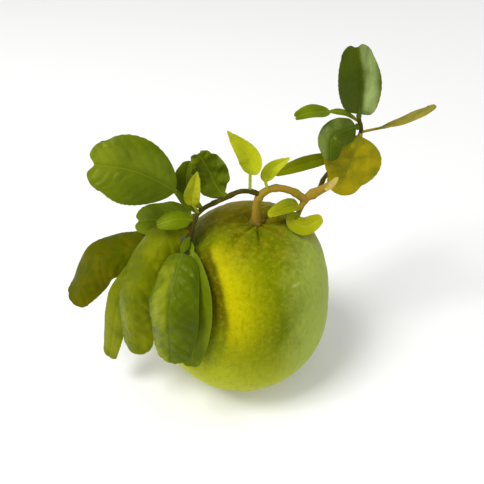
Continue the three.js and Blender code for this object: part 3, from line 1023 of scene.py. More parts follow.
@dataclass(frozen=True)
class Fruit:
    """The fruit: full shoulders, a small flat spot to stand on and creases into the stalk end.

    Args:
        radius, height: its size.
        widest: the height at which it is widest.
        flat_spot: the radius of what it stands on.
        shoulder_power: how full the shoulders are, fuller towards 0.
        lean, lean_power: how far the stalk end leans to the east, and how late that sets in.
        lobes: the count, height and turn of each of the waves that push it out of round.
        furrows, furrow_sway, furrow_depth, furrow_reach: the creases round the stalk.
        stalk_radius: how close to its axis they begin.
        dimple_depth, dimple_radius: the hollow that the stalk stands in.
        notches: the angle and the reach of each deeper crease.
        notch_depth, notch_width, notch_start: their size and where they set in.
        wrinkles, wrinkle_height, wrinkle_reach: unevenness round the stalk.
        dents, dent_height: unevenness all over.
        pimples, pimple_height: finer unevenness all over.
        smooth_foot: up to what height the unevenness fades out towards the flat spot.
        crowding: how far rings draw together towards the stalk end, where the creases need them.
        sides, rings: how finely it is made.
    """

    radius: float = 72.0
    height: float = 160.0
    widest: float = 64.0
    flat_spot: float = 17.0
    shoulder_power: float = 0.72
    lean: float = 12.0
    lean_power: int = 3
    lobes: tuple[Point, ...] = ((2, 0.012, 0.6), (3, 0.008, -1.1))
    furrows: int = 9
    furrow_sway: float = 1.3
    furrow_depth: float = 2.4
    furrow_reach: float = 24.0
    stalk_radius: float = 5.0
    dimple_depth: float = 3.2
    dimple_radius: float = 11.0
    notches: tuple[tuple[float, float], ...] = ((-1.42, 34.0), (3.05, 30.0), (0.05, 26.0))
    notch_depth: float = 2.6
    notch_width: float = 2.2
    notch_start: tuple[float, float] = (5.0, 12.0)
    wrinkles: Ripples = Ripples(9, 4)
    wrinkle_height: float = 0.6
    wrinkle_reach: float = 42.0
    dents: Ripples = Ripples(26, 3)
    dent_height: float = 0.15
    pimples: Ripples = Ripples(7, 5)
    pimple_height: float = 0.07
    smooth_foot: float = 12.0
    crowding: float = 1.3
    sides: int = 300
    rings: int = 210

    def build(self) -> Piece:
        """Makes the whole fruit.

        Returns:
            The finished piece.
        """
        piece = self._ball()
        self._grow(piece)
        self._stand(piece)
        smooth_shade(piece, 60)
        piece.data.materials.append(RindFinish().build())
        hand_over(piece, "fruit")
        return piece

    def _ball(self) -> Piece:
        """A ball round the widest height, drawn out below and above it to the fruit's depth and height.

        Returns:
            The ball.
        """
        deselect_all()
        centre = Vector((0, 0, self.widest * MM))
        bpy.ops.mesh.primitive_uv_sphere_add(
            segments=self.sides, ring_count=self.rings, radius=self.radius * MM, location=centre
        )
        piece = newest("pomelo_fruit")
        bpy.ops.object.transform_apply(location=True, rotation=False, scale=False)
        foot_share = self.flat_spot / self.radius
        depth = self.widest / math.sqrt(1 - foot_share**2)
        for above, reach in ((False, depth), (True, self.height - self.widest)):
            select_where(piece, lambda spots: (spots[:, 2] > self.widest * MM) == above)
            with editing(piece):
                bpy.ops.transform.resize(value=(1, 1, reach / self.radius), center_override=centre)
        return piece

    def _grow(self, piece: Piece) -> None:
        """Fills the shoulders and gives the rind its lobes, creases, dimple and soft dents.

        Args:
            piece: the ball.
        """
        east, north, height = (places(piece) / MM).T
        angle = np.arctan2(north, east)
        rise = np.clip((height - self.widest) / (self.height - self.widest), 0, 1)
        from_top = (1 - np.arcsin(rise) * 2 / math.pi) ** self.crowding
        rise = np.where(rise > 0, np.sin(math.pi / 2 * (1 - from_top)), 0)
        height = np.where(rise > 0, self.widest + (self.height - self.widest) * rise, height)
        level = np.sqrt(np.clip(1 - rise**2, 0, 1))
        radius = np.where(rise > 0, self.radius * level**self.shoulder_power, np.hypot(east, north))
        lobes = 1 + sum(size * np.cos(count * angle + turn) for count, size, turn in self.lobes)
        sway = self.furrow_sway * np.sin(2 * angle)
        crease = (0.5 + 0.5 * np.cos(self.furrows * angle + sway)) ** 3
        near_stalk = bell(radius, self.furrow_reach) * (1 - bell(radius, self.stalk_radius))
        dimple = self.dimple_depth * bell(radius, self.dimple_radius)
        notch = np.zeros_like(radius)
        for notch_angle, reach in self.notches:
            turn = (angle - notch_angle + math.pi) % (2 * math.pi) - math.pi
            near = step_between(*self.notch_start, radius) * step_between(reach, 0.6 * reach, radius)
            notch = notch + self.notch_depth * bell(turn * radius, self.notch_width) * near
        sunk = np.where(rise > 0, dimple + self.furrow_depth * crease * near_stalk + notch, 0)
        spots = np.stack([radius * np.cos(angle), radius * np.sin(angle), height], axis=-1)
        outward = unit(spots - np.array([0, 0, self.widest]))
        wrinkles = self.wrinkles.at(spots) * bell(radius, self.wrinkle_reach) * (rise > 0)
        dents = self.dent_height * self.dents.at(spots) + self.pimple_height * self.pimples.at(spots)
        dents = dents + self.wrinkle_height * wrinkles
        dents = dents * step_between(0, self.smooth_foot, height)
        leaning = self.lean * (height / self.height) ** self.lean_power
        east = leaning + radius * lobes * np.cos(angle)
        north = radius * lobes * np.sin(angle)
        grown = np.stack([east, north, height - sunk], axis=-1) + outward * dents[:, None]
        put(piece, grown * MM)

    def _stand(self, piece: Piece) -> None:
        """Cuts the flat spot and eases its edge with two inset rings.

        Args:
            piece: the grown fruit.
        """
        with editing(piece):
            bpy.ops.mesh.select_all(action="SELECT")
            bpy.ops.mesh.bisect(plane_co=(0, 0, 0), plane_no=(0, 0, 1), use_fill=True, clear_inner=True)
            for inset in (2, 5):
                bpy.ops.mesh.inset(thickness=inset * MM)
            bpy.ops.mesh.select_all(action="SELECT")
            bpy.ops.mesh.normals_make_consistent(inside=False)


def select_where(piece: Piece, test: Callable[[Array], Array]) -> None:
    """Selects the vertices whose places pass a test, ready for edit mode.

    Args:
        piece: the mesh.
        test: takes all places and says which are wanted.
    """
    with editing(piece):
        bpy.ops.mesh.select_mode(type="VERT")
        bpy.ops.mesh.select_all(action="DESELECT")
    piece.data.vertices.foreach_set("select", np.asarray(test(places(piece)), bool))


def select_faces(piece: Piece, test: Callable[[Vector, Vector], bool]) -> None:
    """Selects the faces whose centre and normal pass a test, ready for edit mode.

    Args:
        piece: the mesh.
        test: takes a face's centre and normal and says whether it is wanted.
    """
    with editing(piece):
        bpy.ops.mesh.select_mode(type="FACE")
        bpy.ops.mesh.select_all(action="DESELECT")
    for face in piece.data.polygons:
        face.select = test(face.center, face.normal)


@dataclass(frozen=True)
class Cut:
    """A flat cut across a stem."""

    centre: Point
    normal: Point


@dataclass(frozen=True)
class Stem:
    """A round stem along a smooth line, thicker at its joints, its radius running through the given values.

    Args:
        name: the stem's name.
        points: what it runs through.
        radii: its radii, evenly spaced along it.
        joints: where along it, by share, it swells to a ring.
        swelling: how far it swells there.
        cut: where its end is cut off, if it is.
        seed: what its unevenness is drawn from.
    """

    name: str
    points: tuple[Point, ...]
    radii: tuple[float, ...]
    joints: tuple[float, ...] = ()
    swelling: float = 0.5
    cut: Optional[Cut] = None
    seed: int = 1
    sides: int = 32
    ring_spacing: float = 0.8
    dome: float = 0.35

    JOINT_WIDTH = 1.5
    RING_GAP = 2.2  # from a joint back to the thin ring below it
    RING_WIDTH = 0.5
    RING_HEIGHT = 0.25
    COARSE_SKIN = (0.035, 7)  # height, as a share of the radius, and length
    FINE_SKIN = (0.02, 2.6)
    SKIN_RADIUS = 2.4  # how far out the unevenness is read
    WRAP = 2.6  # millimetres of bark for each radian round the stem
    END_RINGS = 3
    END_INSET = 0.22
    BARK_RIM = 0.4
    SUNK_EDGE = 0.1
    SUNK = 0.15

    def build(self) -> Piece:
        """Makes the stem's mesh.

        Returns:
            The stem, not yet dressed.
        """
        piece = self._rod()
        self._bend(piece)
        if self.cut:
            self._cut_off(piece, self.cut)
        return piece

    def _rod(self) -> Piece:
        """A straight rod of radius 1 and length 1, with a ring of edges for each place along the stem.

        Returns:
            The rod.
        """
        rings = round(Spine(self.points).length / self.ring_spacing)
        deselect_all()
        bpy.ops.mesh.primitive_cylinder_add(vertices=self.sides, radius=1, depth=1, location=(0, 0, 0.5))
        piece = newest(self.name)
        bpy.ops.object.transform_apply(location=True, rotation=False, scale=False)
        select_faces(piece, lambda centre, normal: abs(normal.z) > 0.9)
        with editing(piece):
            for _ in range(self.END_RINGS):
                bpy.ops.mesh.inset(thickness=self.END_INSET, use_even_offset=True)
            bpy.ops.mesh.select_mode(type="EDGE")
            bpy.ops.mesh.select_all(action="DESELECT")
        spots = places(piece)
        for edge in piece.data.edges:
            low, high = (spots[i][2] for i in edge.vertices)
            edge.select = abs(high - low) > 0.5
        with editing(piece):
            bpy.ops.mesh.subdivide_edgering(number_cuts=rings, interpolation="LINEAR")
        return piece

    def _bend(self, piece: Piece) -> None:
        """Lays the rod along the stem's line and gives it its thickness, joints and uneven skin.

        Args:
            piece: the rod.
        """
        spine = Spine(self.points)
        spots = places(piece)
        along = np.clip(spots[:, 2], 0, 1)
        levels, which = np.unique(np.round(along, 6), return_inverse=True)
        first, second = spine.frames(levels)
        radius = np.interp(along, np.linspace(0, 1, len(self.radii)), self.radii)
        for joint in self.joints:
            away = (along - joint) * spine.length
            ring = self.RING_HEIGHT * bell(away + self.RING_GAP, self.RING_WIDTH)
            radius = radius + self.swelling * bell(away, self.JOINT_WIDTH) + ring
        inward = np.hypot(spots[:, 0], spots[:, 1])
        angle = np.arctan2(spots[:, 1], spots[:, 0])
        round_stem = np.stack([np.cos(angle), np.sin(angle)], axis=-1) * self.SKIN_RADIUS
        skin = np.column_stack([round_stem, along * spine.length])
        uneven = 1.0
        for (height, length), seed in ((self.COARSE_SKIN, self.seed), (self.FINE_SKIN, self.seed + 9)):
            uneven = uneven + height * Ripples(length, seed).at(skin)
        width = (radius * uneven)[:, None]
        end = (spots[:, 2] > 0.999).astype(float) - (spots[:, 2] < 0.001)
        bulge = end * self.dome * radius * (1 - inward**2)
        centre = spine.at(along) + spine.heading(along) * bulge[:, None]
        out = first[which] * spots[:, :1] * width + second[which] * spots[:, 1:2] * width
        put(piece, (centre + out) * MM)
        mark(piece, "stem", np.stack([angle * self.WRAP, along * spine.length, inward], axis=-1))

    def _cut_off(self, piece: Piece, cut: Cut) -> None:
        """Cuts the end off, with the bark standing as a thin rim round the bare wood.

        Args:
            piece: the stem.
            cut: where it is cut.
        """
        normal = Vector(cut.normal).normalized()
        centre = Vector(cut.centre) * MM
        with editing(piece):
            bpy.ops.mesh.select_all(action="SELECT")
            bpy.ops.mesh.bisect(plane_co=centre, plane_no=normal, use_fill=True, clear_outer=True)
        select_faces(
            piece,
            lambda spot, facing: abs((spot - centre).dot(normal)) < 1e-6 and facing.dot(normal) > 0.9,
        )
        with editing(piece):
            bpy.ops.mesh.inset(thickness=self.BARK_RIM * MM)
            bpy.ops.mesh.inset(thickness=self.SUNK_EDGE * MM, depth=-self.SUNK * MM)


CUT_DEPTH = 0.3  # how far from the cut's plane the bare wood may lie
CUT_FACING = 0.7  # how nearly it faces the way the cut does, out of 1


def paint_cuts(piece: Piece, cuts: Sequence[Cut], reach: float) -> None:
    """Gives the second material to the bare wood of each cut.

    Args:
        piece: the stem.
        cuts: where it is cut.
        reach: how far round each cut's centre the bare wood goes.
    """
    for face in piece.data.polygons:
        for cut in cuts:
            normal = Vector(cut.normal).normalized()
            away = face.center - Vector(cut.centre) * MM
            flat = abs(away.dot(normal)) < CUT_DEPTH * MM
            on_cut = flat and face.normal.dot(normal) > CUT_FACING
            if on_cut and away.length < reach * MM:
                face.material_index = 1


@dataclass(frozen=True)
class Stems:
    """All the wood: the stalk with the cut branch it grew on, and the two leafy shoots."""

    branch_cut: Cut = Cut((69.5, 17.9, 180.6), (0.62, -0.76, 0.2))
    heel_cut: Cut = Cut((43.9, 3.5, 163.3), (-0.42, -0.6, -0.68))
    shoot_cut: Cut = Cut((-39.4, -17.8, 151.6), (-0.25, -0.52, -0.82))
    cut_reach: float = 9.0

    def build(self) -> None:
        """Makes every stem."""
        bark = BarkFinish(
            "bark", paint(168, 140, 46), paint(132, 100, 28), paint(128, 120, 18), paint(192, 170, 90)
        )
        shoot = BarkFinish(
            "shoot", paint(74, 68, 12), paint(52, 38, 10), paint(94, 98, 14), paint(130, 114, 48)
        )
        cut = CutFinish().build()
        wood = self._wood()
        self._dress(wood, bark.build(), cut, (self.branch_cut, self.heel_cut))
        hand_over(wood, "stalk_and_branch")
        green = shoot.build()
        for name, stem in (("left_shoot", self._left_shoot()), ("right_shoot", self._right_shoot())):
            piece = stem.build()
            self._dress(piece, green, cut, (self.shoot_cut,))
            hand_over(piece, name)

    def _dress(self, piece: Piece, bark: Material, cut: Material, cuts: Sequence[Cut]) -> None:
        """Puts the bark on a stem and bare wood on its cuts.

        Args:
            piece: the stem.
            bark, cut: the finishes of its bark and of bare wood.
            cuts: where it is cut.
        """
        piece.data.materials.append(bark)
        piece.data.materials.append(cut)
        paint_cuts(piece, cuts, self.cut_reach)
        smooth_shade(piece, 45)

    def _wood(self) -> Piece:
        """The arched stalk and the cut branch that it grew on, grown together.

        Returns:
            The one piece of wood.
        """
        stalk = Stem(
            "pomelo_stalk_and_branch",
            (
                (12, 2, 156), (11.6, 1, 166), (12, 1, 175), (15.5, 2, 183), (23, 4, 186.5), (32, 6, 185),
                (41, 8, 180), (48, 10, 173),
            ),
            (4.4, 3.2, 2.9, 2.9, 2.6, 2.7, 2.9, 3.2),
            joints=(0.36, 0.6, 0.86), seed=11,
        ).build()
        branch = Stem(
            "branch",
            (
                (43.5, 3, 162.5), (46, 6.5, 167.5), (50, 11, 172.5), (58, 15, 175.5), (68, 17.5, 180),
                (82, 21, 186.3),
            ),
            (2.1, 2.3, 3.8, 3.1, 3.5, 3.6),
            joints=(0.24, 0.42), seed=12, cut=self.branch_cut,
        ).build()
        union = stalk.modifiers.new("grown_together", "BOOLEAN")
        union.operation = "UNION"
        union.object = branch
        union.solver = "EXACT"
        apply_modifiers(stalk)
        bpy.data.objects.remove(branch)
        return stalk

    def _left_shoot(self) -> Stem:
        """The shoot that runs left over the fruit and carries the hanging leaves.

        Returns:
            The stem.
        """
        return Stem(
            "pomelo_left_shoot",
            (
                (15, 2, 182), (8, 1, 186), (-1, -2, 188), (-9, -3, 184.5), (-17, -3, 180), (-26, -5, 176),
                (-32, -8, 172), (-36, -13, 164), (-39.5, -18, 151),
            ),
            (2.2, 1.8, 1.8, 1.9, 1.8, 1.7, 2, 2.3, 2.4),
            joints=(0.1, 0.32, 0.5, 0.66, 0.74, 0.84, 0.93), swelling=0.35, seed=13, cut=self.shoot_cut,
        )

    def _right_shoot(self) -> Stem:
        """The shoot that rises from the branch at the right.

        Returns:
            The stem.
        """
        return Stem(
            "pomelo_right_shoot",
            (
                (60, 16, 176), (64, 28, 177.5), (72, 41, 179), (82, 48, 185), (90, 50, 196), (93, 49.5, 208),
                (90, 49, 220),
            ),
            (1.9, 1.7, 1.7, 1.8, 1.7, 1.7, 1.6),
            joints=(0.16, 0.46, 0.66, 0.8, 0.92), swelling=0.35, seed=14,
        )


@dataclass(frozen=True)
class Calyx:
    """The small star-shaped collar where the stalk meets the fruit."""

    # How far the disc rises, and how far it is drawn in, at each step after its rim.
    STEPS = ((0.5, 0.96), (0.5, 0.88), (0.4, 0.86), (0.3, 0.84), (0.3, 0.86), (0.1, 0.9))

    centre: tuple[float, float] = (12.0, 2.0)
    radius: float = 7.5
    lobes: int = 5
    lobe_depth: float = 0.3
    foot: float = 156.0
    rim: float = 158.6
    skin: Ripples = Ripples(4, 21)
    skin_height: float = 0.03
    sides: int = 90

    def build(self) -> Piece:
        """Makes the collar, from a disc drawn up and in by steps.

        Returns:
            The finished piece.
        """
        deselect_all()
        bpy.ops.mesh.primitive_circle_add(
            vertices=self.sides,
            radius=self.radius * MM,
            fill_type="NGON",
            location=(self.centre[0] * MM, self.centre[1] * MM, self.foot * MM),
        )
        piece = newest("pomelo_calyx")
        bpy.ops.object.transform_apply(location=True, rotation=False, scale=False)
        middle = Vector((self.centre[0] * MM, self.centre[1] * MM, 0))
        with editing(piece):
            bpy.ops.mesh.select_all(action="SELECT")
            for rise, narrowing in ((self.rim - self.foot, 1.0), *self.STEPS):
                bpy.ops.mesh.extrude_region_move(TRANSFORM_OT_translate={"value": (0, 0, rise * MM)})
                bpy.ops.transform.resize(value=(narrowing, narrowing, 1), center_override=middle)
            bpy.ops.mesh.select_all(action="SELECT")
            bpy.ops.mesh.normals_make_consistent(inside=False)
        self._star(piece)
        smooth_shade(piece, 60)
        piece.data.materials.append(CalyxFinish().build())
        hand_over(piece, "calyx")
        return piece

    def _star(self, piece: Piece) -> None:
        """Draws the rim in between the lobes.

        Args:
            piece: the round collar.
        """
        spots = places(piece) / MM
        out = spots[:, :2] - np.array(self.centre)
        angle = np.arctan2(out[:, 1], out[:, 0])
        reach = np.linalg.norm(out, axis=1) / self.radius
        valley = np.abs(np.sin(self.lobes * angle / 2)) ** 1.5
        drawn = 1 - self.lobe_depth * valley * step_between(0.3, 1.0, reach)
        uneven = 1 + self.skin_height * self.skin.at(spots)
        spots[:, :2] = np.array(self.centre) + out * (drawn * uneven)[:, None]
        put(piece, spots * MM)


class Apex(Enum):
    """A leaf's tip: how long it is for half the blade's width."""

    NOTCHED = 0.5
    ROUNDED = 0.55
    POINTED = 0.9

    def reach(self, outward: Array) -> Array:
        """How far each place across the blade reaches into the tip, out of 1.

        Args:
            outward: from 0 at the midrib to 1 at the margin.

        Returns:
            The reach at each place.
        """
        if self is Apex.POINTED:
            return 1 - outward
        circle = np.sqrt(np.clip(1 - outward**2, 0, 1))
        if self is Apex.NOTCHED:
            return circle - 0.45 * bell(outward, 0.25)
        return circle


@dataclass(frozen=True)
class Leaf:
    """One leaf: a blade, often with a narrow wing on its stalk, bent along its midrib.

    Args:
        name: the CAD node that it stands for.
        kind: its finish.
        slot: the record's material slot; not used.
        apex: the shape of its tip.
        midrib: what its midrib runs through, from foot to tip.
        facing: where its upper face looks.
        width, joint, wing, widest, fullness: its outline: the blade's width, the share that is
            winged stalk, the wing's width, where along the blade it is widest and the power of
            its curve.
        fold, curl, twist: in degrees, the rise of each half at the midrib, its further turn out
            to the margin and the turn of the whole blade from foot to tip.
        wave, waves: the height and the number of the margin's waves.
        pucker: how far the blade swells between its side veins.
        veins: how many side veins each half has.
    """

    name: str
    kind: LeafKind
    slot: str
    apex: Apex
    midrib: tuple[Point, ...]
    facing: Point
    width: float
    joint: float
    wing: float
    widest: float
    fullness: float
    fold: float
    curl: float
    twist: float
    wave: float
    waves: float
    pucker: float = 0.35
    veins: int = 9
    seed: int = 1

    FOOT_RADIUS = 1.2
    OUTLINE_END = 0.86  # how much of the outline's curve comes before the tip
    THICKNESS = 0.5
    THICKEST = 2.2
    SPACING = 0.95  # between the grid's lines
    FEWEST_ROWS = (12, 8)  # before the tip and on it
    FEWEST_COLUMNS = 8
    BLADE_START = 0.12  # the share over which the stalk turns into blade
    TIP_LENGTH = 0.9  # how much of the tip's share its outline takes up
    TIP_TAPER = 0.06
    TOOTH = 0.007  # the height of the margin's teeth, as a share of the half width
    TEETH_TURN = 1.5  # how closely they follow each other, in radians for each millimetre
    WAVE_STARTS = (0.7, 2.1)  # where the margin's waves begin, on each half
    RIB = (1.7, 0.2, 1.4)  # the midrib's height at the foot, its least height and its width
    RIB_THINNING = 0.75  # how much of the difference it loses by the tip
    VEIN_SLANT = (0.62, 0.5)  # how far the side veins slant forward, and how much more further out
    VEIN_STAGGER = 0.25  # how far the two halves' veins are apart, as a share of their spacing
    VEIN_WOBBLE = (2.6, 0.12)  # length, in veins, and height of their unevenness
    PILLOW = (0.5, 0.9, 0.35)  # height, roundness and level of the swelling between veins
    PILLOW_SPREAD = (0.45, 14)  # how unlike each other the swellings are, and over what length
    LUMPS = (0.16, 9)  # height and length
    DRIFT = (0.5, 30)
    GROOVE = (0.3, 0.8)  # depth and width of the furrow over the midrib
    STALK_ROUND = 0.9  # how high the stalk's upper side stands

    def build(self) -> Piece:
        """Makes and dresses the leaf.

        Returns:
            The finished piece.
        """
        spine = Spine(self.midrib)
        tip_share = self.apex.value * self.width * 0.5 / spine.length
        lengths = ((1 - tip_share) * spine.length, tip_share * spine.length)
        body_rows, tip_rows = (
            max(fewest, round(length / self.SPACING)) for fewest, length in zip(self.FEWEST_ROWS, lengths)
        )
        columns = 2 * max(self.FEWEST_COLUMNS, round(self.width / 2 / self.SPACING))
        deselect_all()
        bpy.ops.mesh.primitive_grid_add(x_subdivisions=columns, y_subdivisions=body_rows + tip_rows, size=2)
        piece = newest("pomelo_" + self.name)
        self._shape(piece, spine, tip_share, body_rows / (body_rows + tip_rows))
        self._thicken(piece)
        smooth_shade(piece, 60)
        piece.data.materials.append(self.kind.value.face())
        piece.data.materials.append(self.kind.value.underside())
        hand_over(piece, self.name)
        return piece

    def _half_width(self, share: Array) -> Array:
        """The half width, winged stalk included, at a share of the length before the tip.

        Args:
            share: the share, from 0 at the foot.

        Returns:
            The half width at each share.
        """
        foot = np.clip(share / self.joint, 0, 1)
        stalk = self.FOOT_RADIUS + self.wing / 2 * np.sin(math.pi * foot**1.6)
        blade = np.clip((share - self.joint) / (1 - self.joint), 0, 1) * self.OUTLINE_END
        power = math.log(0.5) / math.log(self.widest * self.OUTLINE_END)
        full = np.sin(math.pi * blade**power) ** self.fullness
        half = self.FOOT_RADIUS + (self.width / 2 - self.FOOT_RADIUS) * full
        return np.where(share < self.joint, stalk, half)

    def _shape(self, piece: Piece, spine: Spine, tip_share: float, body_part: float) -> None:
        """Bends the grid into the leaf and stores what its materials and thickness need.

        Args:
            piece: the grid, its sides from -1 to 1.
            spine: the midrib.
            tip_share: the share of the midrib's length that is the tip.
            body_part: the share of the grid's rows that come before the tip.
        """
        across, row, _ = places(piece).T
        row = (row + 1) / 2
        outward, sign = np.abs(across), np.sign(across)
        body = np.clip(row / body_part, 0, 1)
        into_tip = np.clip((row - body_part) / (1 - body_part), 0, 1)
        tip_end = 1 - self.TIP_LENGTH * tip_share * (1 - self.apex.reach(outward))
        along = body * (1 - tip_share) + into_tip * (tip_end - (1 - tip_share))
        heading = spine.heading(along)
        facing = np.array(self.facing)
        normal = unit(facing - heading * (heading @ facing)[:, None])
        turned = np.radians(self.twist) * along
        normal = normal * np.cos(turned)[:, None] + np.cross(heading, normal) * np.sin(turned)[:, None]
        sideways = np.cross(heading, normal)
        on_blade = step_between(self.joint, self.joint + self.BLADE_START, along)
        comb = np.sin(along * spine.length * self.TEETH_TURN + 3 * sign)
        teeth = 1 + self.TOOTH * on_blade * comb * outward**3
        width = self._half_width(body) * (1 - self.TIP_TAPER * into_tip**2) * teeth
        fullness = 2 * width / self.width
        fold = np.radians(self.fold) * np.minimum(1, 1.5 * fullness)
        curl = np.radians(self.curl) * fullness
        curl = np.where(np.abs(curl) < 1e-6, 1e-6, curl)
        turn = fold + curl * outward
        out = width * (np.sin(turn) - np.sin(fold)) / curl
        rise = width * (np.cos(fold) - np.cos(turn)) / curl
        ripple = np.sin(2 * math.pi * self.waves * along + np.where(sign > 0, *self.WAVE_STARTS))
        wave = self.wave * fullness * outward**2 * ripple
        distance = width * outward
        phase = self._vein_phase(along, distance, sign, spine.length)
        lift = self._relief(along, distance, sign, outward, phase, spine.length, on_blade)
        spots = spine.at(along) + sideways * (sign * (out - np.sin(turn) * lift))[:, None]
        spots = spots + normal * (rise + wave + np.cos(turn) * lift)[:, None]
        put(piece, spots * MM)
        mark(piece, "leaf", np.stack([distance * sign, along * spine.length, phase], axis=-1))
        mark(piece, "share", np.stack([along, outward, on_blade], axis=-1))
        rib = self._rib(along, distance)
        group = piece.vertex_groups.new(name="thickness")
        for index, value in enumerate((self.THICKNESS + rib) / self.THICKEST):
            group.add([index], float(min(1, value)), "REPLACE")

    def _rib(self, along: Array, distance: Array) -> Array:
        """How far the midrib stands out of the underside, thinning to the tip.

        Args:
            along: the share of the midrib's length.
            distance: how far out from the midrib.

        Returns:
            The height at each place.
        """
        height, tip_height, width = self.RIB
        return ((height - tip_height) * (1 - self.RIB_THINNING * along) + tip_height) * bell(distance, width)

    def _vein_phase(self, along: Array, distance: Array, sign: Array, length: float) -> Array:
        """Counts the side veins along the leaf: half past each whole number lies one.

        Args:
            along: the share of the midrib's length.
            distance: how far out from the midrib, in millimetres.
            sign: which half.
            length: the midrib's length.

        Returns:
            The count at each place.
        """
        spacing = (1 - self.joint) * length / self.veins
        flat = np.stack([along * length, distance * sign], axis=-1)
        wobble_length, wobble_height = self.VEIN_WOBBLE
        wobble = wobble_height * Ripples(spacing * wobble_length, self.seed + 40).at(flat)
        slant, bend = self.VEIN_SLANT
        behind = along * length - slant * distance - bend * distance**2 / self.width
        return behind / spacing + self.VEIN_STAGGER * sign + wobble

    def _relief(
        self,
        along: Array,
        distance: Array,
        sign: Array,
        outward: Array,
        phase: Array,
        length: float,
        on_blade: Array,
    ) -> Array:
        """The height of the upper face over the leaf's smooth form.

        Args:
            along, distance, sign, outward, phase, length, on_blade: each place on the leaf, as in _shape.

        Returns:
            The heights, in millimetres.
        """
        flat = np.stack([along * length, distance * sign], axis=-1)
        pillow_height, roundness, level = self.PILLOW
        spread, spread_length = self.PILLOW_SPREAD
        pillow = np.abs(np.cos(math.pi * phase)) ** roundness
        open_blade = on_blade * step_between(0.5, 3.5, distance) * step_between(1.0, 0.75, outward)
        swell = pillow_height * self.pucker * (pillow - level) * open_blade
        swell = swell * (1 + spread * Ripples(spread_length, self.seed).at(flat))
        lump_height, lump_length = self.LUMPS
        lumps = lump_height * self.pucker * Ripples(lump_length, self.seed + 7).at(flat) * open_blade
        groove_depth, groove_width = self.GROOVE
        groove = -groove_depth * bell(distance, groove_width) * on_blade
        round_top = self.STALK_ROUND * np.sqrt(np.clip(1 - outward**2, 0, 1))
        stalk = (1 - on_blade) * round_top * bell(along, self.joint)
        drift_height, drift_length = self.DRIFT
        drift = drift_height * Ripples(drift_length, self.seed + 3).at(flat) * on_blade * outward
        return self.THICKNESS / 2 + swell + lumps + groove + stalk + drift

    def _thicken(self, piece: Piece) -> None:
        """Gives the blade its thickness, most along the midrib, with its own finish on the underside.

        Args:
            piece: the bent blade.
        """
        wall = piece.modifiers.new("thickness", "SOLIDIFY")
        wall.thickness = self.THICKEST * MM
        wall.offset = -1
        wall.vertex_group = "thickness"
        wall.thickness_vertex_group = 0.0
        wall.use_rim = True
        wall.material_offset = 1
        wall.material_offset_rim = 1
        apply_modifiers(piece)
        piece.vertex_groups.clear()


